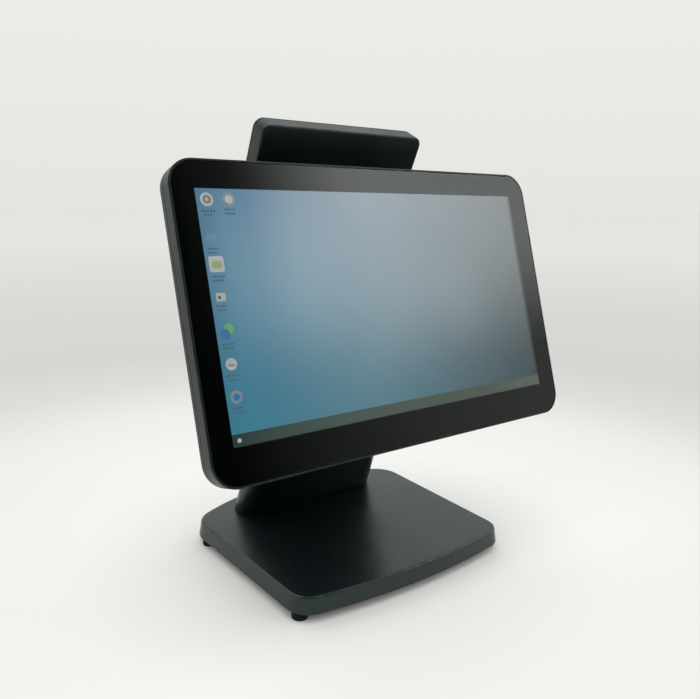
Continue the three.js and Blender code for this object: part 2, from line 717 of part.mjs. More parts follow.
function customerBezel() {
  const front = -CUST_T / 2;
  const outer = loft([
    customerOutline(front, 1.1),
    customerOutline(front + 0.9, 0.1),
    customerOutline(CUST_SPLIT - GAP, 0),
  ]);
  const recess = slab(roundRect(146, 38, 3, 0, CUST_MID, 3), front - 1, front + 1.6);
  const through = slab(roundRect(140, 32, 2, 0, CUST_MID, 3), front - 1, front + 6);
  return cut(outer, recess, through);
}

function customerArm() {
  const back = BULGE_BACK - GAP;
  const plate = box(-34, 34, 46, 76, back - 3, back);
  const low = [54, back - 1];
  const high = [74, back - 1];
  const along = new THREE.Vector2(PIVOT_UP - 64, PIVOT_OUT - back).normalize();
  const side = [-along.y * 5.5, along.x * 5.5];
  const outline = [
    low,
    high,
    [PIVOT_UP + side[0], PIVOT_OUT + side[1]],
    [PIVOT_UP - side[0], PIVOT_OUT - side[1]],
  ];
  const area = THREE.ShapeUtils.area(outline.map(([x, y]) => new THREE.Vector2(x, y)));
  const web = sidePlate(area > 0 ? outline : [...outline].reverse(), -13.7, 13.7);
  const knuckle = axle([[KNUCKLE_R, -13.7], [KNUCKLE_R, 13.7]], PIVOT_UP, PIVOT_OUT, 20);
  const bore = axle([[2.9, -20], [2.9, 20]], PIVOT_UP, PIVOT_OUT, 16);
  const cuts = ARM_SCREWS.map(([x, y]) => rod(1.9, x, y, -60, -40, 12));
  return cut(join(plate, web, knuckle), bore, ...cuts);
}

function buildCustomerArm() {
  const group = new THREE.Group();
  group.add(mesh('customer_arm', customerArm(), black));
  ARM_SCREWS.forEach(([x, y], i) => {
    const seat = BULGE_BACK - GAP - 3 - GAP;
    group.add(mesh(`arm_screw_${i + 1}`, screw(x, y, -42.5, seat, seat - 2, 1.6, 3.2), zinc));
  });
  const pinProfile = [[4, -26], [4, -24], [2.6, -24], [2.6, 24], [4, 24], [4, 26]];
  group.add(mesh('pivot_pin', axle(pinProfile, PIVOT_UP, PIVOT_OUT, 16), steel));
  group.rotation.x = Math.PI / 2 - TILT;
  group.position.set(0, HEAD_Y, HEAD_Z);
  return group;
}

function buildCustomerDisplay() {
  const group = new THREE.Group();
  group.add(mesh('customer_case', customerCase(), black));
  group.add(mesh('customer_bezel', customerBezel(), black));
  const front = -CUST_T / 2;
  const window = slab(roundRect(145.4, 37.4, 2.7, 0, CUST_MID, 3), front + 0.1, front + 1.3);
  group.add(mesh('customer_window', window, lens));
  group.add(mesh('digit_tube', box(-74, 74, CUST_MID - 15, CUST_MID + 15, -5.4, 0), tube));
  group.add(mesh('customer_board', box(-82, 82, CUST_MID - 26, CUST_MID + 26, 0.4, 2), board));
  group.rotation.x = Math.PI / 2 + CUST_LEAN;
  group.position.set(0, CUST_Y, CUST_Z);
  return group;
}

const terminal = new THREE.Group();
terminal.name = 'sales_terminal';
terminal.add(buildBase(), buildNeck(), buildHead(), buildCustomerArm(), buildCustomerDisplay());
export default terminal;
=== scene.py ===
import math

import bmesh
import bpy
from mathutils import Matrix, Vector


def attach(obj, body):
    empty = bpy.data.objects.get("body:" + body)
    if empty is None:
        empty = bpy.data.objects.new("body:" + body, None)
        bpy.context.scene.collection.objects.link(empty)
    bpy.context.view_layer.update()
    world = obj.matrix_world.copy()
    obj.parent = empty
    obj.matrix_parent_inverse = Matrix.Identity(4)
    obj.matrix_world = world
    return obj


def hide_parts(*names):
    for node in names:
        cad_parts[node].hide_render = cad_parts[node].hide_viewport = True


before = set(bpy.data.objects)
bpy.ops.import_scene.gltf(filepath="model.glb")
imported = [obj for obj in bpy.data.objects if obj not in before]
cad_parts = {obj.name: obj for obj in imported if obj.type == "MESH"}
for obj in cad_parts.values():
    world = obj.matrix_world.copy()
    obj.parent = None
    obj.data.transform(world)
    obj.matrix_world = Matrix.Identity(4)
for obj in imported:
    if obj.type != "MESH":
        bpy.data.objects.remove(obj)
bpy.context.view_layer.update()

# ---- Camera -------------------------------------------------------------------------------------
# A moderately wide lens to the front left of the terminal, above the middle of the head. It
# looks down by twelve degrees and is rolled by one.
camera_place = Vector((-0.3941, -0.5374, 0.33755))
camera_turn = math.radians(-36.602)
camera_drop = math.radians(11.834)
camera_roll = math.radians(0.979)

back = Vector((
    math.sin(camera_turn) * math.cos(camera_drop),
    -math.cos(camera_turn) * math.cos(camera_drop),
    math.sin(camera_drop),
))
level_right = (-back).cross(Vector((0, 0, 1))).normalized()
level_up = level_right.cross(-back)
right = level_right * math.cos(camera_roll) + level_up * math.sin(camera_roll)
up = level_up * math.cos(camera_roll) - level_right * math.sin(camera_roll)
lens = bpy.data.cameras.new("camera")
lens.sensor_width = 36
lens.lens = 36.051
lens.clip_start = 0.01
lens.clip_end = 200
camera = bpy.data.objects.new("camera", lens)
camera.matrix_world = Matrix.Translation(camera_place) @ Matrix((right, up, back)).transposed().to_4x4()
bpy.context.scene.collection.objects.link(camera)
bpy.context.scene.camera = camera

# ---- Studio -------------------------------------------------------------------------------------
# A wide pale sheet on the floor, one big soft light overhead, and white walls behind and above.
# The sheet's colour carries painted light: it is paler near the terminal, standing in for light
# that the terminal's shade takes away, with painted shade in a darker ring about a metre out.
# A soft white glow stands to the front right, and the front left of the room is kept dark.


def node(tree, kind, **values):
    """A new shader node, with its sockets and settings given by name."""
    made = tree.nodes.new("ShaderNode" + kind)
    for key, value in values.items():
        if key in made.inputs:
            made.inputs[key].default_value = value
        else:
            setattr(made, key, value)
    return made


def wire(tree, source, target, socket, output=0):
    tree.links.new(source.outputs[output], target.inputs[socket])


def arithmetic(tree, operation, a, b=0.0):
    """A Math node: a and b are nodes or plain numbers."""
    made = node(tree, "Math", operation=operation)
    for index, value in enumerate((a, b)):
        if isinstance(value, bpy.types.Node):
            wire(tree, value, made, index)
        else:
            made.inputs[index].default_value = value
    return made


def ramp(tree, source, stops, output=0):
    """A colour ramp over a 0..1 value: stops are (place, colour)."""
    made = node(tree, "ValToRGB")
    wire(tree, source, made, "Fac", output)
    elements = made.color_ramp.elements
    while len(elements) < len(stops):
        elements.new(0.5)
    for element, (place, colour) in zip(elements, stops):
        element.position = place
        element.color = (*colour, 1.0)
    return made


def between(tree, source, low, high, out_low=0.0, out_high=1.0, smooth=True):
    """A Map Range node from low..high to out_low..out_high."""
    made = node(tree, "MapRange")
    made.interpolation_type = "SMOOTHSTEP" if smooth else "LINEAR"
    wire(tree, source, made, "Value")
    for key, value in (("From Min", low), ("From Max", high), ("To Min", out_low), ("To Max", out_high)):
        made.inputs[key].default_value = value
    return made


def surface(name):
    """A new material, with its node tree and its surface shader."""
    made = bpy.data.materials.new(name)
    made.use_nodes = True
    return made, made.node_tree, made.node_tree.nodes["Principled BSDF"]


floor_mesh = bpy.data.meshes.new("floor")
floor_mesh.from_pydata([(-90, -90, 0), (90, -90, 0), (90, 90, 0), (-90, 90, 0)], [], [(0, 1, 2, 3)])
floor = bpy.data.objects.new("floor", floor_mesh)
bpy.context.scene.collection.objects.link(floor)

floor_paper, tree, shader = surface("floor_paper")
shader.inputs["Roughness"].default_value = 0.9
shader.inputs["Specular IOR Level"].default_value = 0.0
spot = node(tree, "TexCoord")
reach = node(tree, "VectorMath", operation="LENGTH")
wire(tree, spot, reach, 0, "Object")
near_to_far = node(tree, "Math", operation="LOGARITHM")
wire(tree, reach, near_to_far, 0, "Value")
near_to_far.inputs[1].default_value = 10
spread = between(tree, near_to_far, -1, 1, smooth=False)
# Painted light by distance from the middle: paler near the terminal against its shade, then a ring of painted
# shade, darkest about a metre out, and paler again far away.
FLOOR_PAINTED_LIGHT = (
    (0.0, 0.9), (0.21, 0.885), (0.354, 0.765), (0.422, 0.645), (0.487, 0.585), (0.627, 0.62), (0.85, 0.76),
)
floor_painted_light = ramp(tree, spread, [(place, (tone, tone, tone * 0.975)) for place, tone in FLOOR_PAINTED_LIGHT])
wire(tree, floor_painted_light, shader, "Base Color", "Color")
floor_mesh.materials.append(floor_paper)

overhead = bpy.data.lights.new("overhead", "AREA")
overhead.shape = "RECTANGLE"
overhead.size = 3.0
overhead.size_y = 3.0
overhead.energy = 15
overhead_place = Vector((0.1, 0.5, 2.8))
overhead_lamp = bpy.data.objects.new("overhead", overhead)
overhead_lamp.location = overhead_place
overhead_lamp.rotation_euler = (-overhead_place).to_track_quat("-Z", "Y").to_euler()
bpy.context.scene.collection.objects.link(overhead_lamp)

room = bpy.data.worlds.new("room")
bpy.context.scene.world = room
room.use_nodes = True
tree = room.node_tree
wall = tree.nodes["Background"]
direction = node(tree, "TexCoord")
axes = node(tree, "SeparateXYZ")
wire(tree, direction, axes, 0, "Generated")


def of_axis(name):
    """One part of the direction, as a node of its own."""
    made = node(tree, "Math", operation="ADD")
    wire(tree, axes, made, 0, name)
    made.inputs[1].default_value = 0.0
    return made


across, along, upward = of_axis("X"), of_axis("Y"), of_axis("Z")
rear_wall = between(tree, along, -0.20, 0.45, 0.02, 0.86)
ceiling = between(tree, upward, 0.66, 0.95, 0.0, 0.6)
bearing = arithmetic(tree, "ARCTAN2", across, arithmetic(tree, "MULTIPLY", along, -1.0))
low_glow = arithmetic(tree, "MULTIPLY", between(tree, bearing, 0.45, 0.92, smooth=False), 0.75)
high_glow = arithmetic(
    tree,
    "MULTIPLY",
    arithmetic(tree, "MULTIPLY", between(tree, bearing, 0.545, 0.78), between(tree, upward, 0.17, 0.34)),
    2.6,
)
glow_end = arithmetic(
    tree,
    "MULTIPLY",
    between(tree, bearing, 1.4, 2.0, 1.0, 0.0),
    between(tree, upward, 0.60, 0.90, 1.0, 0.0),
)
glow = arithmetic(tree, "MULTIPLY", arithmetic(tree, "ADD", low_glow, high_glow), glow_end)
glow = arithmetic(tree, "MULTIPLY", glow, between(tree, bearing, 0.72, 0.98, 1.0, 0.58, smooth=False))
lit = arithmetic(tree, "ADD", arithmetic(tree, "ADD", rear_wall, ceiling), glow)
seen = ramp(tree, between(tree, upward, 0.0, 0.27, smooth=False), [
    (0.0, (0.783, 0.791, 0.753)),
    (1.0, (0.845, 0.853, 0.807)),
])

# Mirror rays see the walls and the glow, diffuse rays an even white, and the camera a pale sweep.
path = node(tree, "LightPath")
mirrored = node(tree, "Mix", data_type="RGBA")
mirrored.inputs[7].default_value = (0.99, 0.99, 0.97, 1.0)
wire(tree, path, mirrored, "Factor", "Is Diffuse Ray")
tinted = node(tree, "Mix", data_type="RGBA", blend_type="MULTIPLY")
tinted.inputs[0].default_value = 1.0
tinted.inputs[7].default_value = (0.97, 1.03, 0.99, 1.0)
wire(tree, lit, tinted, 6)
wire(tree, tinted, mirrored, 6, 2)
chosen = node(tree, "Mix", data_type="RGBA")
wire(tree, path, chosen, "Factor", "Is Camera Ray")
wire(tree, mirrored, chosen, 6, 2)
wire(tree, seen, chosen, 7, "Color")
wire(tree, chosen, wall, "Color", 2)
bpy.context.scene.view_settings.view_transform = "Standard"

# ---- Feet ---------------------------------------------------------------------------------------
# Four round rubber buttons pressed into the bottom cover, so the stand does not slide or mark
# the counter. Moulded in black nitrile rubber, dull, with a slightly hollow sole.
MM = 0.001


def skin(name, loops, placed=Matrix.Identity(4), ring=False, worn=None):
    """A closed body over loops of points in millimetres; a ring joins its last loop to its first."""
    count = len(loops[0])
    points = [placed @ (Vector(point) * MM) for loop in loops for point in loop]
    faces = []
    for row in range(len(loops) if ring else len(loops) - 1):
        a, b = row * count, (row + 1) % len(loops) * count
        faces += [(a + i, a + (i + 1) % count, b + (i + 1) % count, b + i) for i in range(count)]
    if not ring:
        faces += [tuple(reversed(range(count))), tuple(range(len(points) - count, len(points)))]
    mesh = bpy.data.meshes.new(name)
    mesh.from_pydata(points, [], faces)
    work = bmesh.new()
    work.from_mesh(mesh)
    bmesh.ops.recalc_face_normals(work, faces=work.faces)
    work.to_mesh(mesh)
    work.free()
    edge_wear = mesh.attributes.new("wear", "FLOAT", "POINT")
    for row, amount in enumerate(worn or [0.0] * len(loops)):
        for i in range(row * count, (row + 1) * count):
            edge_wear.data[i].value = amount
    mesh.shade_smooth()
    made = bpy.data.objects.new(name, mesh)
    bpy.context.scene.collection.objects.link(made)
    return made


def circle(x, y, z, radius, steps=48):
    turns = [math.tau * k / steps for k in range(steps)]
    return [(x + radius * math.cos(t), y + radius * math.sin(t), z) for t in turns]


def fillet(start, end, steps, leave="side"):
    """(height, inset, wear) rows of a quarter round from one (height, inset) to another."""
    rows = []
    for k in range(steps + 1):
        turn = math.pi / 2 * k / steps
        quick, slow = math.sin(turn), 1 - math.cos(turn)
        if leave == "face":
            quick, slow = slow, quick
        rows.append((
            start[0] + (end[0] - start[0]) * quick,
            start[1] + (end[1] - start[1]) * slow,
            math.sin(math.pi * (k + 0.5) / (steps + 1)),
        ))
    return rows


def soften(piece, width=0.25, segments=2):
    """Breaks the sharp edges of a piece and keeps its flats flat."""
    piece.data.set_sharp_from_angle(angle=math.radians(38))
    if width:
        round_over = piece.modifiers.new("edges", "BEVEL")
        round_over.width = width * MM
        round_over.segments = segments
        round_over.limit_method = "ANGLE"
        round_over.angle_limit = math.radians(38)
    flats = piece.modifiers.new("flats", "WEIGHTED_NORMAL")
    flats.keep_sharp = True
    flats.weight = 80
    return piece


def fit(piece, body, slot, *nodes):
    """Rides the piece on its body and hides the frame nodes it stands for; slot is not used."""
    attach(piece, body)
    if nodes:
        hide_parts(*nodes)
    return piece


def moulded(name, colour, roughness, grain, depth, worn_colour=(0.06, 0.068, 0.068), cloud=0.16, specular=0.5,
             tint=(1.0, 1.0, 1.0)):
    """Injection moulded plastic or rubber: colour drift, fine grain, and edges rubbed pale."""
    made, tree, shader = surface(name)
    shader.inputs["Specular IOR Level"].default_value = specular
    shader.inputs["Specular Tint"].default_value = (*tint, 1.0)
    spot = node(tree, "TexCoord")
    drift = node(tree, "TexNoise", Scale=16.0, Detail=3.0)
    mottle = node(tree, "TexNoise", Scale=420.0, Detail=2.0)
    rub = node(tree, "TexNoise", Scale=95.0, Detail=4.0, Roughness=0.7)
    pores = node(tree, "TexNoise", Scale=grain, Detail=2.0, Roughness=0.6)
    for noise in (drift, mottle, rub, pores):
        wire(tree, spot, noise, "Vector", "Object")
    body = ramp(tree, drift, [
        (0.3, [c * (1 - cloud) for c in colour]),
        (0.7, [c * (1 + cloud) for c in colour]),
    ])
    fine = ramp(tree, mottle, [(0.35, (0.86, 0.86, 0.86)), (0.65, (1.12, 1.12, 1.12))])
    speckled = node(tree, "Mix", data_type="RGBA", blend_type="MULTIPLY")
    speckled.inputs[0].default_value = 1.0
    wire(tree, body, speckled, 6)
    wire(tree, fine, speckled, 7)
    edge = node(tree, "Attribute", attribute_name="wear")
    patchy = between(tree, rub, 0.42, 0.68)
    rubbed = node(tree, "Math", operation="MULTIPLY")
    wire(tree, edge, rubbed, 0, "Fac")
    wire(tree, patchy, rubbed, 1)
    finished = node(tree, "Mix", data_type="RGBA")
    finished.inputs[7].default_value = (*worn_colour, 1.0)
    wire(tree, arithmetic(tree, "MULTIPLY", rubbed, 0.55), finished, "Factor")
    wire(tree, speckled, finished, 6, 2)
    wire(tree, finished, shader, "Base Color", 2)
    dull = between(tree, drift, 0.3, 0.7, roughness - 0.04, roughness + 0.04)
    touched = between(tree, mottle, 0.3, 0.7, -0.03, 0.03)
    polished = arithmetic(tree, "MULTIPLY", rubbed, -0.08)
    wire(tree, arithmetic(tree, "ADD", arithmetic(tree, "ADD", dull, touched), polished), shader, "Roughness")
    bump = node(tree, "Bump", Strength=1.0, Distance=depth * MM)
    wire(tree, pores, bump, "Height")
    wire(tree, bump, shader, "Normal")
    return made


rubber = moulded(
    "foot_rubber", (0.0035, 0.0036, 0.0036), 0.78, 900, 0.05,
    worn_colour=(0.025, 0.025, 0.025), specular=0.25)
FEET = (("front_l", -112, -94), ("front_r", 112, -94), ("rear_l", -117.5, 65), ("rear_r", 117.5, 65))
foot_rows = (
    [(0.5, 2.5, 0.0), (0.4, 4.2, 0.3), (0.0, 5.0, 1.0)]
    + [(height, 7.0 - inset, wear) for height, inset, wear in fillet((0.0, 1.3), (1.4, 0.0), 6, "face")]
    + [(4.0, 7.0, 0.0), (6.8, 7.0, 0.0), (7.1, 6.8, 0.0), (7.2, 6.4, 0.0)]
)
for side, x, y in FEET:
    foot = skin(
        f"foot_pad_{side}",
        [circle(x, y, height, radius) for height, radius, _ in foot_rows],
        worn=[wear for _, _, wear in foot_rows],
    )
    foot.data.materials.append(rubber)
    soften(foot, 0)
    fit(foot, "stand", "foot_rubber", f"base_foot_{side}")

# ---- Base cover ---------------------------------------------------------------------------------
# The stand's wide foot is one thick ABS moulding, charcoal black with a fine spark texture.
# Its sides lean out and its top edge is rounded. The screw bosses inside it never show, so
# they are left out here.
BASE_TOP = 22.5
BASE_HALF = 121.7
BASE_TAPER = 0.0307
BASE_FRONT, FRONT_BOW = -116, 625
BASE_REAR, REAR_BOW = 116, 235
NECK_Y = 74
NECK_LEAN = 0.4


def arc(cx, cy, radius, start, end, steps):
    turns = [start + (end - start) * k / steps for k in range(steps + 1)]
    return [(cx + radius * math.cos(t), cy + radius * math.sin(t)) for t in turns]


def corner_centre(arc_y, arc_radius, radius):
    """Where a corner round sits between the tapering side and the front or rear arc."""
    inside, outside = 0.0, -200.0 if arc_y > 0 else 200.0
    for _ in range(60):
        y = (inside + outside) / 2
        x = BASE_HALF + BASE_TAPER * y - radius * math.hypot(1, BASE_TAPER)
        if math.hypot(x, y - arc_y) > arc_radius - radius:
            outside = y
        else:
            inside = y
    return x, y


def base_outline(inset):
    """The plan of the base, drawn in by inset: bowed front, tapering sides, bowed rear."""
    front_y, rear_y = BASE_FRONT + FRONT_BOW, BASE_REAR - REAR_BOW
    front_corner, rear_corner, slope = 20, 28, math.atan(BASE_TAPER)
    fx, fy = corner_centre(front_y, FRONT_BOW, front_corner)
    rx, ry = corner_centre(rear_y, REAR_BOW, rear_corner)
    front, rear = math.atan2(fy - front_y, fx), math.atan2(ry - rear_y, rx)
    return (
        arc(0, front_y, FRONT_BOW - inset, -math.pi - front, front, 28)
        + arc(fx, fy, front_corner - inset, front, -slope, 12)[1:]
        + arc(rx, ry, rear_corner - inset, -slope, rear, 12)
        + arc(0, rear_y, REAR_BOW - inset, rear, math.pi - rear, 28)[1:]
        + arc(-rx, ry, rear_corner - inset, math.pi - rear, math.pi + slope, 12)[1:]
        + arc(-fx, fy, front_corner - inset, math.pi + slope, math.pi - front, 12)[:-1]
    )


def at_height(outline, height):
    return [(x, y, height) for x, y in outline]


def block(x0, x1, y0, y1, z0, z1, placed=Matrix.Identity(4)):
    """A square cutting tool."""
    plan = [(x0, y0), (x1, y0), (x1, y1), (x0, y1)]
    return skin("cutter", [at_height(plan, z0), at_height(plan, z1)], placed)


def carve(piece, cutters):
    """Cuts every tool out of the piece, as pockets, slots and bores."""
    for cutter in cutters:
        cut = piece.modifiers.new("cut", "BOOLEAN")
        cut.operation = "DIFFERENCE"
        cut.solver = "EXACT"
        cut.object = cutter
    depsgraph = bpy.context.evaluated_depsgraph_get()
    cut_mesh = bpy.data.meshes.new_from_object(piece.evaluated_get(depsgraph))
    piece.modifiers.clear()
    piece.data = cut_mesh
    for cutter in cutters:
        bpy.data.objects.remove(cutter)
    return piece


def join_cutters(cutters):
    """Puts tools that do not touch into one mesh, so one cut does them all."""
    work = bmesh.new()
    for cutter in cutters:
        work.from_mesh(cutter.data)
        bpy.data.objects.remove(cutter)
    mesh = bpy.data.meshes.new("cutter")
    work.to_mesh(mesh)
    work.free()
    made = bpy.data.objects.new("cutter", mesh)
    bpy.context.scene.collection.objects.link(made)
    return made


stand_plastic = moulded(
    "stand_plastic", (0.0012, 0.0042, 0.0052), 0.34, 2600, 0.0035, specular=0.62, tint=(0.80, 1.0, 1.0))
base_rows = (
    [(20.0, 2.5, 0.0), (8.5, 0.4, 0.0), (7.5, 0.2, 0.0)]
    + [(7.5, -2.0, 0.3), (7.8, -2.25, 0.8), (8.4, -2.2, 0.0)]
    + [(14.0, -1.28, 0.0), (20.2, -0.32, 0.0)]
    + fillet((20.7, -0.2), (BASE_TOP, 1.9), 8)
    + [(BASE_TOP, 3.2, 0.0), (BASE_TOP, 7.0, 0.0)]
)
base = skin(
    "base_shell",
    [at_height(base_outline(inset), height) for height, inset, _ in base_rows],
    worn=[wear for _, _, wear in base_rows],
)
base.data.materials.append(stand_plastic)
carve(base, [block(-70, 70, NECK_Y - 12, NECK_Y + 14, 12, 32)])
soften(base, 0)
fit(base, "stand", "stand_plastic", "base_cover")

# ---- Bottom cover, weight and screws ------------------------------------------------------------
# A flat ABS lid closes the base under a steel ballast plate. Four countersunk zinc plated
# screws hold the lid to the bosses of the base cover.
BOSSES = ((-92, -82), (92, -82), (-92, 66), (92, 66))


def rod(x, y, radius, z0, z1, placed=Matrix.Identity(4), steps=32):
    """A round cutting tool."""
    return skin("cutter", [circle(x, y, z0, radius, steps), circle(x, y, z1, radius, steps)], placed)


lid_plastic = moulded("bottom_plastic", (0.014, 0.015, 0.016), 0.55, 1100, 0.03)
lid_rows = [(7.5, 1.4, 0.3), (7.7, 1.2, 0.3), (9.1, 1.2, 0.0), (9.3, 1.4, 0.0)]
lid = skin(
    "base_lid",
    [at_height(base_outline(inset), height) for height, inset, _ in lid_rows],
    worn=[wear for _, _, wear in lid_rows],
)
lid.data.materials.append(lid_plastic)
screw_holes = [rod(x, y, 3.8, 6, 11) for x, y in BOSSES]
grooves = [block(x - 30, x + 30, -55 + 9 * k, -53.6 + 9 * k, 7.0, 7.95) for x in (-55, 55) for k in range(7)]
carve(lid, [join_cutters(screw_holes + grooves)])
soften(lid, 0.15)
fit(lid, "stand", "bottom_plastic", "base_bottom_cover")


def metal(name, colour, roughness, streak=(1, 1, 1), scratch=0.10, grain=600, depth=0.006):
    """Bare or plated metal: tone drift, drawn streaks, and fine handling scratches."""
    made, tree, shader = surface(name)
    shader.inputs["Metallic"].default_value = 1.0
    spot = node(tree, "TexCoord")
    stretch = node(tree, "Mapping")
    stretch.inputs["Scale"].default_value = streak
    wire(tree, spot, stretch, "Vector", "Object")
    drift = node(tree, "TexNoise", Scale=45.0, Detail=3.0)
    wire(tree, spot, drift, "Vector", "Object")
    drawn = node(tree, "TexNoise", Scale=grain, Detail=3.0, Roughness=0.65)
    wire(tree, stretch, drawn, "Vector")
    tone = ramp(tree, drift, [(0.3, [c * 0.82 for c in colour]), (0.7, [min(1, c * 1.12) for c in colour])])
    wire(tree, tone, shader, "Base Color")
    dull = between(tree, drift, 0.3, 0.7, roughness - 0.05, roughness + 0.06)
    lines = between(tree, drawn, 0.3, 0.7, -scratch / 2, scratch / 2)
    wire(tree, arithmetic(tree, "ADD", dull, lines), shader, "Roughness")
    bump = node(tree, "Bump", Strength=1.0, Distance=depth * MM)
    wire(tree, drawn, bump, "Height")
    wire(tree, bump, shader, "Normal")
    return made


def dress(names, material, width=0.25, segments=2):
    """Gives frame nodes their finish, and breaks their sharp edges."""
    for name in names:
        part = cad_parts[name]
        mesh = part.data
        if "custom_normal" in mesh.attributes:
            mesh.attributes.remove(mesh.attributes["custom_normal"])
        mesh.shade_smooth()
        mesh.materials.clear()
        mesh.materials.append(material)
        weld = part.modifiers.new("weld", "WELD")
        weld.merge_threshold = 0.00002
        round_over = part.modifiers.new("edges", "BEVEL")
        round_over.width = width * MM
        round_over.segments = segments
        round_over.limit_method = "ANGLE"
        round_over.angle_limit = math.radians(38)
        round_over.harden_normals = True


weight_steel = metal("weight_steel", (0.10, 0.10, 0.105), 0.52, grain=250)
screw_zinc = metal("screw_zinc", (0.50, 0.51, 0.53), 0.33, grain=1800, scratch=0.16)
dress(["base_weight_plate"], weight_steel, 0.3)
dress([f"base_screw_{k}" for k in (1, 2, 3, 4)] + ["neck_bolt_l", "neck_bolt_r"], screw_zinc, 0.2)

# ---- Neck ---------------------------------------------------------------------------------------
# A leaning column of two ABS shells, front and rear, clipped over a folded steel upright.
# The cable comes out of a notch at the foot of the rear shell, and goes in at the top.
NECK_TOP = 200.5
NECK_W, NECK_DEPTH, NECK_ROUND = 165, 36, 17
NECK_TAPER = 0.1
EAR_X = 52


def round_rect(width, height, radius, cx=0.0, cy=0.0, steps=12):
    points = []
    for sx, sy, start in ((1, 1, 0), (-1, 1, 90), (-1, -1, 180), (1, -1, 270)):
        for k in range(steps + 1):
            turn = math.radians(start + 90 * k / steps)
            points.append((
                cx + sx * (width / 2 - radius) + radius * math.cos(turn),
                cy + sy * (height / 2 - radius) + radius * math.sin(turn),
            ))
    return points


def neck_loop(height, inset):
    rise = height - BASE_TOP
    width, depth = NECK_W - NECK_TAPER * rise - 2 * inset, NECK_DEPTH - 2 * inset
    outline = round_rect(width, depth, NECK_ROUND - inset, 0, NECK_Y - NECK_LEAN * rise, 14)
    return at_height(outline, height)


neck_rows = (
    [(198.0, 2.5, 0.0), (22.8, 2.5, 0.0), (22.8, 0.3, 0.0), (23.1, 0.0, 0.6), (25.0, 0.0, 0.0)]
    + [(62.0, 0.0, 0.0), (122.0, 0.0, 0.0), (182.0, 0.0, 0.0)]
    + fillet((198.3, 0.0), (NECK_TOP, 2.2), 6)
    + [(NECK_TOP, 3.4, 0.0)]
)
lean = Matrix.Translation((0, NECK_Y * MM, BASE_TOP * MM)) @ Matrix.Rotation(math.atan(NECK_LEAN), 4, "X")
top_y = NECK_Y - NECK_LEAN * (NECK_TOP - BASE_TOP)
for side in ("front", "rear"):
    shell = skin(
        f"neck_{side}_shell",
        [neck_loop(height, inset) for height, inset, _ in neck_rows],
        worn=[wear for _, _, wear in neck_rows],
    )
    shell.data.materials.append(stand_plastic)
    if side == "front":
        carve(shell, [block(-120, 120, -0.15, 80, -60, 260, lean)])
    else:
        carve(shell, [block(-120, 120, -80, 0.15, -60, 260, lean)])
        carve(shell, [
            block(-13, 13, NECK_Y + 5, NECK_Y + 40, BASE_TOP - 5, BASE_TOP + 14),
            block(-30, 30, top_y + 4, top_y + 13, NECK_TOP - 8, NECK_TOP + 2),
        ])
    ear_slots = [
        block(s * EAR_X - 2.4, s * EAR_X + 2.4, -15, 23, NECK_TOP - 15, NECK_TOP + 5) for s in (-1, 1)]
    carve(shell, ear_slots)
    soften(shell, 0.2)
    fit(shell, "stand", "stand_plastic", f"neck_{side}_cover")

# ---- Neck frame and hinge -----------------------------------------------------------------------
# A folded, powder coated steel upright ends in two ears. Friction units of stacked spring
# washers grip the ground steel shaft, and a plastic spacer fills the middle.
frame_steel = metal("frame_steel", (0.060, 0.062, 0.065), 0.5, grain=900, depth=0.02)
shaft_steel = metal("shaft_steel", (0.55, 0.55, 0.56), 0.28, streak=(0.05, 1, 1), grain=900)
dress(["neck_frame"], frame_steel, 0.3)
dress(["hinge_unit_l", "hinge_unit_r"], frame_steel, 0.4)
dress(["hinge_shaft"], shaft_steel, 0.4)
dress(["hinge_spacer"], stand_plastic, 0.5)

# ---- Front frame --------------------------------------------------------------------------------
# A slim ABS ring carries the glass. Its rounded lip stands round the glass by two millimetres,
# and it meets the rear housing in a seam half way down the side of the head.
TILT = math.radians(16.9)
HEAD = Matrix.Translation((0, -0.071, 0.2538)) @ Matrix.Rotation(math.pi / 2 - TILT, 4, "X")
HEAD_W = 385.2
HEAD_H = 245.8
HEAD_MIDDLE = -3.8
HEAD_ROUND = 21
LIP = 2.0


def head_loop(depth, inset):
    return at_height(
        round_rect(HEAD_W - 2 * inset, HEAD_H - 2 * inset, HEAD_ROUND - inset, 0, HEAD_MIDDLE, 16), depth)


head_plastic = moulded(
    "head_plastic", (0.0016, 0.0040, 0.0048), 0.39, 2600, 0.0035, specular=0.38, tint=(0.86, 1.0, 1.0))
frame_rows = (
    [(-9.5, 0.35, 0.0), (-9.4, 0.1, 0.5), (-9.1, 0.0, 0.3), (-7.0, 0.0, 0.0), (-1.0, 0.0, 0.0)]
    + fillet((1.0, 0.0), (1.8, 0.8), 6)
    + [(1.8, 1.72, 0.0), (1.74, 1.8, 0.0), (-0.3, 1.8, 0.0)]
)
through = round_rect(366, 226, 8, 0, HEAD_MIDDLE, 16)
frame_ring = skin(
    "front_frame_ring",
    [head_loop(depth, inset) for depth, inset, _ in frame_rows]
    + [at_height(through, -0.3), at_height(through, -9.5)],
    HEAD,
    ring=True,
    worn=[wear for _, _, wear in frame_rows] + [0.0, 0.0],
)
frame_ring.data.materials.append(head_plastic)
soften(frame_ring, 0)
fit(frame_ring, "head", "frame_plastic", "front_frame")

# ---- Touch glass --------------------------------------------------------------------------------
# Chemically strengthened cover glass, 1.8 mm thick with a ground edge. The touch sensor is
# bonded behind it, and a black ceramic print hides everything outside the picture.
PICTURE_W = 344.2
PICTURE_H = 193.6


def glass_loop(depth, inset):
    width, height = HEAD_W - 2 * (LIP + inset), HEAD_H - 2 * (LIP + inset)
    return at_height(round_rect(width, height, HEAD_ROUND - LIP - inset, 0, HEAD_MIDDLE, 16), depth)


def smears(tree):
    """Faint finger smears and wiping marks, as a 0..1 pattern."""
    spot = node(tree, "TexCoord")
    made = node(tree, "TexNoise", Scale=22.0, Detail=5.0, Roughness=0.62, Distortion=0.6)
    wire(tree, spot, made, "Vector", "Object")
    return made


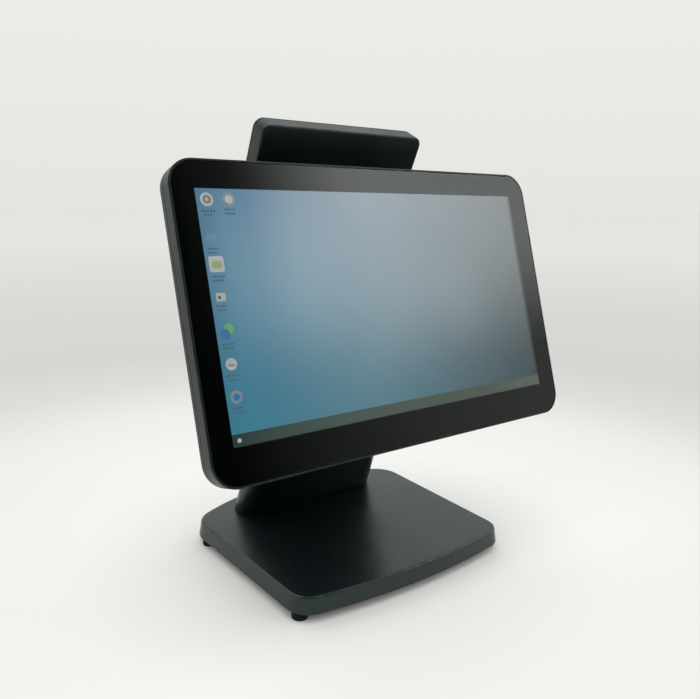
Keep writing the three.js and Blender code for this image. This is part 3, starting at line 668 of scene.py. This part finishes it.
def clear_glass(name, polish):
    """Bonded glass: light passes straight in, and only a polished outer face (polish 1) mirrors."""
    made, tree, shader = surface(name)
    shader.inputs["Base Color"].default_value = (0.98, 1.0, 1.0, 1.0)
    shader.inputs["Transmission Weight"].default_value = 1.0
    shader.inputs["IOR"].default_value = 1.01
    shader.inputs["Roughness"].default_value = 0.0
    shader.inputs["Coat Weight"].default_value = polish
    shader.inputs["Coat IOR"].default_value = 1.5
    wire(tree, between(tree, smears(tree), 0.40, 0.75, 0.03, 0.075), shader, "Coat Roughness")
    return made


print_ink, tree, shader = surface("print_ink")
shader.inputs["Specular IOR Level"].default_value = 0.0
shader.inputs["Roughness"].default_value = 0.6
ink_tone = ramp(tree, smears(tree), [(0.35, (0.0008, 0.0018, 0.0021)), (0.7, (0.0014, 0.0027, 0.0031))])
wire(tree, ink_tone, shader, "Base Color")
glass_rows = ((0.0, 0.25), (0.2, 0.0), (1.4, 0.0), (1.75, 0.05), (1.8, 0.15))
glass = skin("cover_glass", [glass_loop(depth, inset) for depth, inset in glass_rows], HEAD)
for material in (print_ink, clear_glass("glass_outer_face", 1.0), clear_glass("glass_inner_face", 0.0)):
    glass.data.materials.append(material)

# The side faces carry the ink, and the two wide faces are clear.
outward = HEAD.to_3x3() @ Vector((0, 0, 1))
for face in glass.data.polygons:
    if len(face.vertices) > 4:
        face.material_index = 1 if face.normal @ outward > 0 else 2
soften(glass, 0)
fit(glass, "head", "touch_glass", "touch_glass")

print_window = round_rect(PICTURE_W + 0.5, PICTURE_H + 0.5, 0.6, 0, 0, 16)
border = skin(
    "glass_print",
    [glass_loop(-0.22, 0.6), glass_loop(-0.04, 0.6)]
    + [at_height(print_window, -0.04), at_height(print_window, -0.22)],
    HEAD,
    ring=True,
)
border.data.materials.append(print_ink)
soften(border, 0)
fit(border, "head", "touch_glass")

# ---- Picture panel ------------------------------------------------------------------------------
# A 15.6 inch LCD in a folded metal tray. It shows a plain blue desktop, pale at the top and
# dark towards the lower right, with a grey strip along the bottom and a thin one at the right.


def glowing(name, colour, strength=1.0):
    """A patch that glows in one tone, slightly uneven as a backlight is."""
    made, tree, shader = surface(name)
    shader.inputs["Base Color"].default_value = (0.002, 0.003, 0.003, 1.0)
    shader.inputs["Specular IOR Level"].default_value = 0.0
    shader.inputs["Emission Strength"].default_value = strength
    spot = node(tree, "TexCoord")
    backlight = node(tree, "TexNoise", Scale=120.0, Detail=1.0)
    wire(tree, spot, backlight, "Vector", "Object")
    dim, bright = [c * 0.9 for c in colour], [c * 1.08 for c in colour]
    tone = ramp(tree, backlight, [(0.3, dim), (0.7, bright)])
    wire(tree, tone, shader, "Emission Color")
    return made


desktop, tree, shader = surface("desktop_picture")
shader.inputs["Base Color"].default_value = (0.002, 0.003, 0.003, 1.0)
shader.inputs["Specular IOR Level"].default_value = 0.0
shader.inputs["Emission Strength"].default_value = 1.0
layout = node(tree, "UVMap", uv_map="picture")
parts = node(tree, "SeparateXYZ")
wire(tree, layout, parts, 0)
top_tone = ramp(tree, parts, [
    (0.0, (0.085, 0.178, 0.275)),
    (0.06, (0.105, 0.220, 0.320)),
    (0.12, (0.108, 0.212, 0.312)),
    (0.24, (0.185, 0.270, 0.345)),
    (0.45, (0.240, 0.290, 0.345)),
    (1.0, (0.180, 0.196, 0.206)),
], "X")
low_tone = ramp(tree, parts, [
    (0.0, (0.042, 0.190, 0.275)),
    (0.4, (0.085, 0.195, 0.245)),
    (0.75, (0.060, 0.110, 0.130)),
    (1.0, (0.035, 0.055, 0.062)),
], "X")
sky = node(tree, "Mix", data_type="RGBA")
wire(tree, parts, sky, "Factor", "Y")
wire(tree, low_tone, sky, 6)
wire(tree, top_tone, sky, 7)
shown, socket = sky, 2

# Two soft pale clouds, one to the right of the middle and one to the upper left.
clouds = (((0.742, 0.478, 0.0), 0.16, 0.022), ((0.19, 0.66, 0.0), 0.28, 0.085))
for centre, reach, amount in clouds:
    away = node(tree, "VectorMath", operation="SUBTRACT")
    wire(tree, layout, away, 0)
    away.inputs[1].default_value = centre
    flattened = node(tree, "VectorMath", operation="MULTIPLY")
    wire(tree, away, flattened, 0)
    flattened.inputs[1].default_value = (1.0, 0.56, 0.0)
    distance = node(tree, "VectorMath", operation="LENGTH")
    wire(tree, flattened, distance, 0)
    plain_distance = node(tree, "Math", operation="ADD")
    wire(tree, distance, plain_distance, 0, "Value")
    plain_distance.inputs[1].default_value = 0.0
    haze = between(tree, plain_distance, 0.02, reach, amount, 0.0)
    lifted = node(tree, "Mix", data_type="RGBA", blend_type="ADD")
    lifted.inputs[0].default_value = 1.0
    wire(tree, shown, lifted, 6, socket)
    wire(tree, haze, lifted, 7)
    shown = lifted

# The thin strip at the right edge, and over it the strip along the bottom.
strip_tone = ramp(tree, parts, [
    (0.0, (0.026, 0.044, 0.046)),
    (0.12, (0.047, 0.067, 0.062)),
    (0.3, (0.063, 0.088, 0.074)),
    (0.8, (0.066, 0.085, 0.066)),
    (1.0, (0.096, 0.116, 0.086)),
], "X")
edge_tone = ramp(tree, parts, [
    (0.0, (0.042, 0.046, 0.043)),
    (0.75, (0.052, 0.062, 0.056)),
    (1.0, (0.118, 0.124, 0.116)),
], "Y")
EDGE_START, STRIP_END = 0.9915, 0.0487
overlays = (("X", "GREATER_THAN", EDGE_START, edge_tone), ("Y", "LESS_THAN", STRIP_END, strip_tone))
for axis, compare, limit, tone in overlays:
    mask = node(tree, "Math", operation=compare)
    wire(tree, parts, mask, 0, axis)
    mask.inputs[1].default_value = limit
    layered = node(tree, "Mix", data_type="RGBA")
    wire(tree, mask, layered, "Factor")
    wire(tree, shown, layered, 6, socket)
    wire(tree, tone, layered, 7)
    shown = layered
wire(tree, shown, shader, "Emission Color", 2)

tray_metal = metal("lcd_tray", (0.30, 0.31, 0.32), 0.4, grain=700)
panel_dark = moulded("panel_border", (0.004, 0.004, 0.0045), 0.5, 900, 0.01)
picture_edge = round_rect(PICTURE_W, PICTURE_H, 0.2, 0, 0, 8)
TRAY_W, TRAY_H, TRAY_MIDDLE = 359.4, 216, -2
PANEL_FACE = -0.8


def tray_loop(depth, inset):
    """The rim of the metal tray at a depth, drawn in by an inset."""
    outline = round_rect(TRAY_W - 2 * inset, TRAY_H - 2 * inset, 3 - inset, 0, TRAY_MIDDLE, 8)
    return at_height(outline, depth)


tray_rows = ((-6.0, 0.6), (-5.5, 0.0), (-1.2, 0.0), (-0.82, 0.5), (PANEL_FACE, 2.0))
panel = skin(
    "picture_panel",
    [tray_loop(depth, inset) for depth, inset in tray_rows] + [at_height(picture_edge, PANEL_FACE)],
    HEAD,
)
for material in (tray_metal, panel_dark, desktop):
    panel.data.materials.append(material)
into_head = HEAD.inverted()
uv = panel.data.uv_layers.new(name="picture")
for face in panel.data.polygons:
    corners = [into_head @ panel.data.vertices[v].co / MM for v in face.vertices]
    depth = min(c.z for c in corners)
    if depth > PANEL_FACE - 0.01:
        inside = all(abs(c.x) < PICTURE_W / 2 + 0.01 and abs(c.y) < PICTURE_H / 2 + 0.01 for c in corners)
        face.material_index = 2 if inside else 1
    for loop, corner in zip(face.loop_indices, corners):
        uv.data[loop].uv = (corner.x / PICTURE_W + 0.5, corner.y / PICTURE_H + 0.5)
soften(panel, 0)
fit(panel, "head", "picture", "lcd_module")

# ---- Things on the desktop ----------------------------------------------------------------------
# The lit marks of the desktop: a plain dot and small signs in the bottom strip, and eight plain
# icons at the left, each over two rows of short bars in place of a label.
icon_tones = {
    "white": (0.40, 0.42, 0.41),
    "grey": (0.20, 0.25, 0.27),
    "faint": (0.116, 0.238, 0.338),
    "sign": (0.115, 0.135, 0.125),
    "brown": (0.19, 0.17, 0.15),
    "green": (0.27, 0.37, 0.17),
    "leaf": (0.15, 0.32, 0.15),
    "blue": (0.05, 0.17, 0.33),
    "label": (0.070, 0.115, 0.155),
}
icon_order = list(icon_tones)
icon_parts = []


def flat_shape(outline, tone, lift):
    """A thin lit shape just in front of the picture; outline is in mm from its top left corner."""
    placed = [(x - PICTURE_W / 2, PICTURE_H / 2 - y) for x, y in outline]
    heights = (-0.78 + lift, -0.74 + lift)
    shape = skin("icon", [at_height(placed, height) for height in heights], HEAD)
    shape.data.shade_flat()
    icon_parts.append((shape, icon_order.index(tone)))


def disc(x, y, radius, tone, lift=0.0):
    flat_shape([(px, py) for px, py, _ in circle(x, y, 0, radius, 28)], tone, lift)


def tile(x, y, width, height, radius, tone, lift=0.0):
    flat_shape(round_rect(width, height, radius, x, y, 5), tone, lift)


SIGN_ROW = 189.0
disc(5.6, SIGN_ROW, 1.7, "white", 0.06)
for x in (281, 289, 296.5, 303):
    disc(x, SIGN_ROW, 0.9, "sign", 0.06)
for x, width in ((314, 9), (333, 4)):
    tile(x, 187.8, width, 0.9, 0.2, "sign", 0.06)
    tile(x, 190.3, width, 0.9, 0.2, "sign", 0.06)

disc(8.7, 8.4, 5.3, "white")
disc(8.7, 8.4, 3.3, "brown", 0.05)
disc(8.7, 8.4, 1.5, "white", 0.10)
disc(26.9, 8.1, 5.6, "grey")
disc(26.9, 8.1, 3.3, "white", 0.05)
disc(8.0, 37.4, 4.6, "faint")
tile(8.8, 57.5, 12.2, 12.0, 1.6, "white")
tile(8.8, 57.9, 8.0, 5.4, 2.2, "green", 0.05)
tile(8.3, 82.3, 8.4, 7.0, 0.6, "grey")
tile(8.3, 82.3, 7.4, 6.0, 0.4, "white", 0.05)
disc(7.0, 82.6, 1.3, "label", 0.10)
disc(10.9, 106.2, 4.1, "leaf")
disc(6.9, 110.4, 4.3, "blue", 0.05)
disc(8.4, 132.6, 4.6, "white")
tile(8.4, 133.4, 5.4, 1.8, 0.9, "grey", 0.05)
disc(8.5, 157.1, 4.9, "grey")
disc(8.5, 157.1, 2.7, "blue", 0.05)
LABELS = (
    (8.7, 18.6), (26.9, 17.4), (8.0, 47.2), (8.8, 68.2),
    (8.3, 90.4), (8.5, 119.0), (8.4, 142.6), (8.5, 166.8),
)
BAR_STEP = 2.3
for number, (x, y) in enumerate(LABELS):
    for row, length in enumerate((11.5 - number % 3, 8.0 + number % 2 * 2)):
        for k in range(int(length / BAR_STEP)):
            left = x - length / 2 + BAR_STEP * k
            tile(left + 1.1, y - 1.4 + 3.0 * row, 1.7 - 0.4 * ((number + k) % 2), 1.5, 0.4, "label")


def gather(name, marks, materials):
    """One object from many small bodies, each given with the number of its material."""
    work = bmesh.new()
    for shape, tone in marks:
        for face in shape.data.polygons:
            face.material_index = tone
        work.from_mesh(shape.data)
        bpy.data.objects.remove(shape)
    mesh = bpy.data.meshes.new(name)
    work.to_mesh(mesh)
    work.free()
    for material in materials:
        mesh.materials.append(material)
    made = bpy.data.objects.new(name, mesh)
    bpy.context.scene.collection.objects.link(made)
    return made


icon_lights = [glowing(f"picture_{tone}", colour) for tone, colour in icon_tones.items()]
icons = gather("desktop_marks", icon_parts, icon_lights)
fit(icons, "head", "picture")

# ---- Rear housing -------------------------------------------------------------------------------
# A shallow ABS tray closes the head behind the seam. It has a slot for the power button in its
# right side, and four screws in counterbores near its corners.
HOUSING_SCREWS = ((-158, 100), (158, 100), (-158, -108), (158, -108))
BULGE_W, BULGE_TOP, BULGE_BOTTOM = 300, 88, -84


def bulge_loop(depth, inset, top_draft, side_draft):
    """The outline of the deep box behind the head, drafted at its top and sides."""
    top, bottom = BULGE_TOP - top_draft - inset, BULGE_BOTTOM + inset
    width = BULGE_W - 2 * (side_draft + inset)
    return at_height(round_rect(width, top - bottom, 12 - min(inset, 6), 0, (top + bottom) / 2, 16), depth)


housing_rows = (
    fillet((-17.7, 3.4), (-14.9, 0.12), 7, "face")
    + [(-12.5, 0.0, 0.0), (-10.3, 0.0, 0.3), (-9.9, 0.1, 0.6), (-9.8, 0.35, 0.0)]
    + [(-9.8, 2.5, 0.0), (-15.2, 2.5, 0.0)]
)
housing = skin(
    "head_tray",
    [bulge_loop(-17.7, 3.5, 0, 0), head_loop(-17.7, 8.0)]
    + [head_loop(depth, inset) for depth, inset, _ in housing_rows]
    + [bulge_loop(-15.2, 3.5, 0, 0)],
    HEAD,
    ring=True,
    worn=[0.0, 0.0] + [wear for _, _, wear in housing_rows] + [0.0],
)
housing.data.materials.append(head_plastic)
carve(housing, [join_cutters(
    [rod(x, y, 1.8, -20, -10, HEAD) for x, y in HOUSING_SCREWS]
    + [block(HEAD_W / 2 - 5, HEAD_W / 2 + 2, -102.3, -87.7, -14.6, -10.8, HEAD)]
)])
carve(housing, [join_cutters([rod(x, y, 3.4, -20, -16.2, HEAD) for x, y in HOUSING_SCREWS])])
soften(housing, 0.2)
fit(housing, "head", "housing_plastic", "rear_housing")
dress([f"housing_screw_{k}" for k in (1, 2, 3, 4)], screw_zinc, 0.2)

# ---- Back cover ---------------------------------------------------------------------------------
# The deep box of the head is a drafted ABS moulding over the electronics. Two rows of slots in
# its top let the heat out, slots at its lower corners let the sound out, and the sockets look down.
cover_rows = (
    [(-45.2, 2.5, 6, 8, 0.0), (-17.99, 2.5, 0, 0, 0.0)]
    + [(-17.99, 0.3, 0, 0, 0.0), (-18.4, 0.0, 0.1, 0.1, 0.0)]
    + [(-30.0, 0.0, 2.4, 3.3, 0.0), (-42.0, 0.0, 4.9, 6.6, 0.0)]
    + [(depth, inset, 5.6, 7.5, wear) for depth, inset, wear in fillet((-44.7, 0.0), (-47.7, 3.0), 8)]
    + [(-47.7, 6.0, 5.6, 7.5, 0.0)]
)
cover = skin(
    "rear_box",
    [bulge_loop(depth, inset, top, side) for depth, inset, top, side, _ in cover_rows],
    HEAD,
    worn=[row[4] for row in cover_rows],
)
cover.data.materials.append(head_plastic)


def slot_tool(cx, cz, width, height, y0, y1):
    """A round ended slot cut up the screen."""
    outline = round_rect(width, height, height / 2 - 0.01, cx, cz, 5)
    loops = [[(x, y, z) for x, z in outline] for y in (y0, y1)]
    return skin("cutter", loops, HEAD)


HINGE_UP = -13.257
HALF_PITCH = 37.5
bracket_holes = [
    rod(sx * HALF_PITCH, HINGE_UP + sy * HALF_PITCH, 2.4, -55, -40, HEAD)
    for sx in (-1, 1) for sy in (-1, 1)
]
arm_holes = [rod(x, 58, 1.9, -55, -40, HEAD) for x in (-24, 24)]
vents = [slot_tool(-99 + 22 * k, z, 16, 2.4, 76, 94) for k in range(10) for z in (-34.8, -27.8)]
grilles = [slot_tool(s * 125, -23.2 - 4 * k, 19, 1.6, -86, -79) for s in (-1, 1) for k in range(4)]
socket_window = block(-105, 67, BULGE_BOTTOM - 2, BULGE_BOTTOM + 5, -41, -23, HEAD)
carve(cover, [join_cutters(bracket_holes + arm_holes + vents + grilles + [socket_window])])
soften(cover, 0.25)
fit(cover, "head", "housing_plastic", "back_cover")

# ---- Head bracket -------------------------------------------------------------------------------
# A folded steel plate on the 75 mm mounting pattern, powder coated black, with two ears that
# turn on the hinge shaft. Four pan head screws hold it to the back of the head.
dress(["head_bracket"], frame_steel, 0.35)
dress([f"bracket_screw_{k}" for k in (1, 2, 3, 4)], screw_zinc, 0.25)

# ---- Electronics --------------------------------------------------------------------------------
# A chassis plate carries the panel. Behind it sit the mainboard with its finned heatsink, a
# drive, two speakers, and the row of sockets in a nickel plated plate.


def circuit(name):
    """Solder mask over copper: fine straight tracks show through the green."""
    made, tree, shader = surface(name)
    shader.inputs["Roughness"].default_value = 0.35
    spot = node(tree, "TexCoord")
    tracks = node(tree, "TexBrick", Scale=260.0, offset=0.5)
    tracks.inputs["Color1"].default_value = (0.010, 0.070, 0.030, 1)
    tracks.inputs["Color2"].default_value = (0.014, 0.100, 0.042, 1)
    tracks.inputs["Mortar"].default_value = (0.030, 0.160, 0.070, 1)
    wire(tree, spot, tracks, "Vector", "Object")
    wire(tree, tracks, shader, "Base Color", "Color")
    bump = node(tree, "Bump", Strength=1.0, Distance=0.00004)
    wire(tree, tracks, bump, "Height", "Fac")
    wire(tree, bump, shader, "Normal")
    return made


chassis_zinc = metal("chassis_zinc", (0.42, 0.43, 0.44), 0.4, grain=300)
dull_alloy = metal("dull_alloy", (0.55, 0.56, 0.57), 0.38, streak=(1, 0.05, 1), grain=900)
nickel = metal("socket_nickel", (0.60, 0.59, 0.56), 0.24, grain=1400)
black_plastic = moulded("socket_plastic", (0.012, 0.012, 0.013), 0.45, 1600, 0.02)
green_board = circuit("circuit_board")
dress(["chassis_plate"], chassis_zinc, 0.15)
dress(["mainboard", "switch_board", "customer_board"], green_board, 0.1)
dress(["heatsink", "solid_state_drive"], dull_alloy, 0.2)
dress(["speaker_l", "speaker_r"], black_plastic, 0.4)
dress(["socket_plate"], nickel, 0.1)
dress(["socket_lan", "socket_usb_a", "socket_usb_b", "socket_serial", "socket_monitor"], nickel, 0.15)
dress(["socket_dc", "socket_drawer", "socket_audio"], black_plastic, 0.15)

# ---- Power button -------------------------------------------------------------------------------
# A slim glossy key in the right side of the head, with a collar inside that keeps it captive.
button_plastic = moulded("button_plastic", (0.016, 0.017, 0.018), 0.28, 1500, 0.008)
BUTTON_UP, BUTTON_DEEP = -95, -12.7


def button_loop(x, half_up, half_deep, radius):
    outline = round_rect(2 * half_up, 2 * half_deep, radius, BUTTON_UP, BUTTON_DEEP, 6)
    return [(x, y, z) for y, z in outline]


button_rows = (
    (188.9, 9.0, 2.2, 0.5, 0.0), (189.0, 9.0, 2.35, 0.5, 0.0), (189.7, 9.0, 2.35, 0.5, 0.0),
    (189.8, 8.9, 2.2, 0.5, 0.0), (189.8, 7.0, 1.6, 1.3, 0.0), (191.8, 7.0, 1.6, 1.3, 0.0),
    (192.2, 6.9, 1.5, 1.2, 1.0), (192.4, 6.6, 1.2, 1.0, 1.0), (192.25, 5.6, 0.7, 0.6, 0.0),
)
button = skin(
    "power_key",
    [button_loop(*row[:4]) for row in button_rows],
    HEAD,
    worn=[row[4] for row in button_rows],
)
button.data.materials.append(button_plastic)
soften(button, 0)
fit(button, "power_button", "button_plastic", "power_button")

# ---- Arm of the customer display ----------------------------------------------------------------
# A short ABS arm screws to the back of the head and reaches up to a knuckle. A steel pin goes
# through it and the two lugs of the display.
dress(["customer_arm"], head_plastic, 0.5, 3)
dress(["arm_screw_1", "arm_screw_2"], screw_zinc, 0.2)
dress(["pivot_pin"], shaft_steel, 0.3)

# ---- Customer display ---------------------------------------------------------------------------
# A slim two part ABS box that faces the customer: a deep case on the operator's side with
# rounded edges and two hinge lugs below, and a bezel with a smoked window in front of the tube.
CUSTOMER_PIVOT = (0, 0.039306, 0.336542)
CUSTOMER_LEAN = math.pi / 2 + math.radians(25)
CUSTOMER = Matrix.Translation(CUSTOMER_PIVOT) @ Matrix.Rotation(CUSTOMER_LEAN, 4, "X")
CUSTOMER_MIDDLE = 42


def customer_loop(depth, inset, width=178, height=66, radius=9, steps=14):
    """A rounded outline of the customer display at a depth, drawn in by an inset."""
    corner = max(radius - inset, 0.6)
    outline = round_rect(width - 2 * inset, height - 2 * inset, corner, 0, CUSTOMER_MIDDLE, steps)
    return at_height(outline, depth)


case_rows = (
    [(7.3, 2.2, 0.0), (-6.3, 2.2, 0.0), (-6.3, 0.4, 0.0)]
    + [(-6.2, 0.1, 0.3), (-5.9, 0.0, 0.3), (0.0, 0.0, 0.0)]
    + fillet((7.7, 0.0), (9.5, 1.8), 8)
    + [(9.5, 3.2, 0.0)]
)
case = skin(
    "customer_case_shell",
    [customer_loop(depth, inset) for depth, inset, _ in case_rows],
    CUSTOMER,
    worn=[wear for _, _, wear in case_rows],
)
case.data.materials.append(head_plastic)
soften(case, 0)
fit(case, "customer_display", "housing_plastic", "customer_case")

LUG_X, LUG_RADIUS, BORE_RADIUS = 19, 7, 2.9
turns = [math.pi / 2 + math.pi * k / 18 for k in range(19)]
lug_profile = [(LUG_RADIUS * math.cos(t), LUG_RADIUS * math.sin(t)) for t in turns]
lug_profile += [(9.4, -6.4), (9.4, 6.4)]
for side, sign in (("l", -1), ("r", 1)):
    loops = []
    for offset, inset in ((-4.7, 0.5), (-4.4, 0.1), (-4.1, 0.0), (4.1, 0.0), (4.4, 0.1), (4.7, 0.5)):
        keep = 1 - inset / LUG_RADIUS
        x = sign * LUG_X + offset
        loops.append([(x, y * keep if y < 5 else y, z * keep) for y, z in lug_profile])
    lug = skin(f"customer_lug_{side}", loops, CUSTOMER)
    lug.data.materials.append(head_plastic)
    bore = [(y, z) for y, z, _ in circle(0, 0, 0, BORE_RADIUS, 24)]
    carve(lug, [skin("cutter", [[(x, y, z) for y, z in bore] for x in (-40, 40)], CUSTOMER)])
    soften(lug, 0)
    fit(lug, "customer_display", "housing_plastic")

bezel_rows = (
    fillet((-9.5, 1.2), (-8.4, 0.1), 5, "face")
    + [(-7.5, 0.0, 0.0), (-6.8, 0.0, 0.0), (-6.6, 0.3, 0.3)]
)
bezel = skin(
    "customer_bezel_ring",
    [customer_loop(depth, 0, 140, 32, 2) for depth in (-6.6, -7.9)]
    + [customer_loop(depth, 0, 146, 38, 3) for depth in (-7.9, -9.4)]
    + [customer_loop(-9.5, 0, 146.4, 38.4, 3.2)]
    + [customer_loop(depth, inset) for depth, inset, _ in bezel_rows],
    CUSTOMER,
    ring=True,
    worn=[0, 0, 0, 0.3, 0.3] + [wear for _, _, wear in bezel_rows],
)
bezel.data.materials.append(head_plastic)
soften(bezel, 0)
fit(bezel, "customer_display", "housing_plastic", "customer_bezel")

smoked, tree, shader = surface("smoked_window")
shader.inputs["Base Color"].default_value = (0.30, 0.34, 0.34, 1.0)
shader.inputs["Transmission Weight"].default_value = 1.0
shader.inputs["IOR"].default_value = 1.49
spot = node(tree, "TexCoord")
wipes = node(tree, "TexNoise", Scale=60.0, Detail=4.0, Roughness=0.6)
wire(tree, spot, wipes, "Vector", "Object")
wire(tree, between(tree, wipes, 0.4, 0.75, 0.04, 0.09), shader, "Roughness")
window_rows = ((-9.4, 0.25), (-9.3, 0.05), (-9.1, 0.0), (-8.4, 0.0), (-8.2, 0.2))
window_loops = [customer_loop(depth, inset, 145.4, 37.4, 2.7, 8) for depth, inset in window_rows]
window = skin("customer_lens", window_loops, CUSTOMER)
window.data.materials.append(smoked)
soften(window, 0)
fit(window, "customer_display", "smoked_window", "customer_window")

# The tube behind the window: a dark glass box with two rows of seven segment figures, of which
# the lower row shows a plain zero total.
tube_glass = moulded("tube_glass", (0.010, 0.014, 0.013), 0.16, 700, 0.002)
unlit = moulded("unlit_segment", (0.020, 0.030, 0.028), 0.5, 1500, 0.004)
lit_segment = glowing("lit_segment", (0.16, 0.95, 0.80), 1.6)
tube_rows = ((0.0, 0.4), (-0.3, 0.0), (-5.0, 0.0), (-5.3, 0.2), (-5.4, 0.6))
tube_loops = [customer_loop(depth, inset, 148, 30, 2, 6) for depth, inset in tube_rows]
tube = skin("display_tube", tube_loops, CUSTOMER)
tube.data.materials.append(tube_glass)
soften(tube, 0)
fit(tube, "customer_display", "digit_glass", "digit_tube")

SEGMENTS = (
    (0, 4.6, 0), (2.3, 2.3, 1), (2.3, -2.3, 1), (0, -4.6, 0), (-2.3, -2.3, 1), (-2.3, 2.3, 1), (0, 0, 0),
)
ZERO = (0, 1, 2, 3, 4, 5)
FIGURES, FIGURE_PITCH, ROW_RISE = 14, 10, 7.2
FIRST_LIT = 11
strokes = []


def add_stroke(outline, lit_now):
    """A thin mark on the face of the tube."""
    shape = skin("stroke", [at_height(outline, depth) for depth in (-5.5, -5.42)], CUSTOMER)
    strokes.append((shape, int(lit_now)))


for row, row_y in enumerate((CUSTOMER_MIDDLE + ROW_RISE, CUSTOMER_MIDDLE - ROW_RISE)):
    for place in range(FIGURES):
        centre = FIGURE_PITCH * ((FIGURES - 1) / 2 - place)
        for number, (dx, dy, tall) in enumerate(SEGMENTS):
            width, height = (0.9, 3.7) if tall else (3.7, 0.9)
            bar = round_rect(width, height, 0.4, centre + dx, row_y + dy, 3)
            add_stroke(bar, row == 1 and place >= FIRST_LIT and number in ZERO)
        dot = [(x, y) for x, y, _ in circle(centre - 4.4, row_y - 4.6, 0, 0.55, 12)]
        add_stroke(dot, row == 1 and place == FIRST_LIT)
figures = gather("display_figures", strokes, [unlit, lit_segment])
fit(figures, "customer_display", "digit_glass")
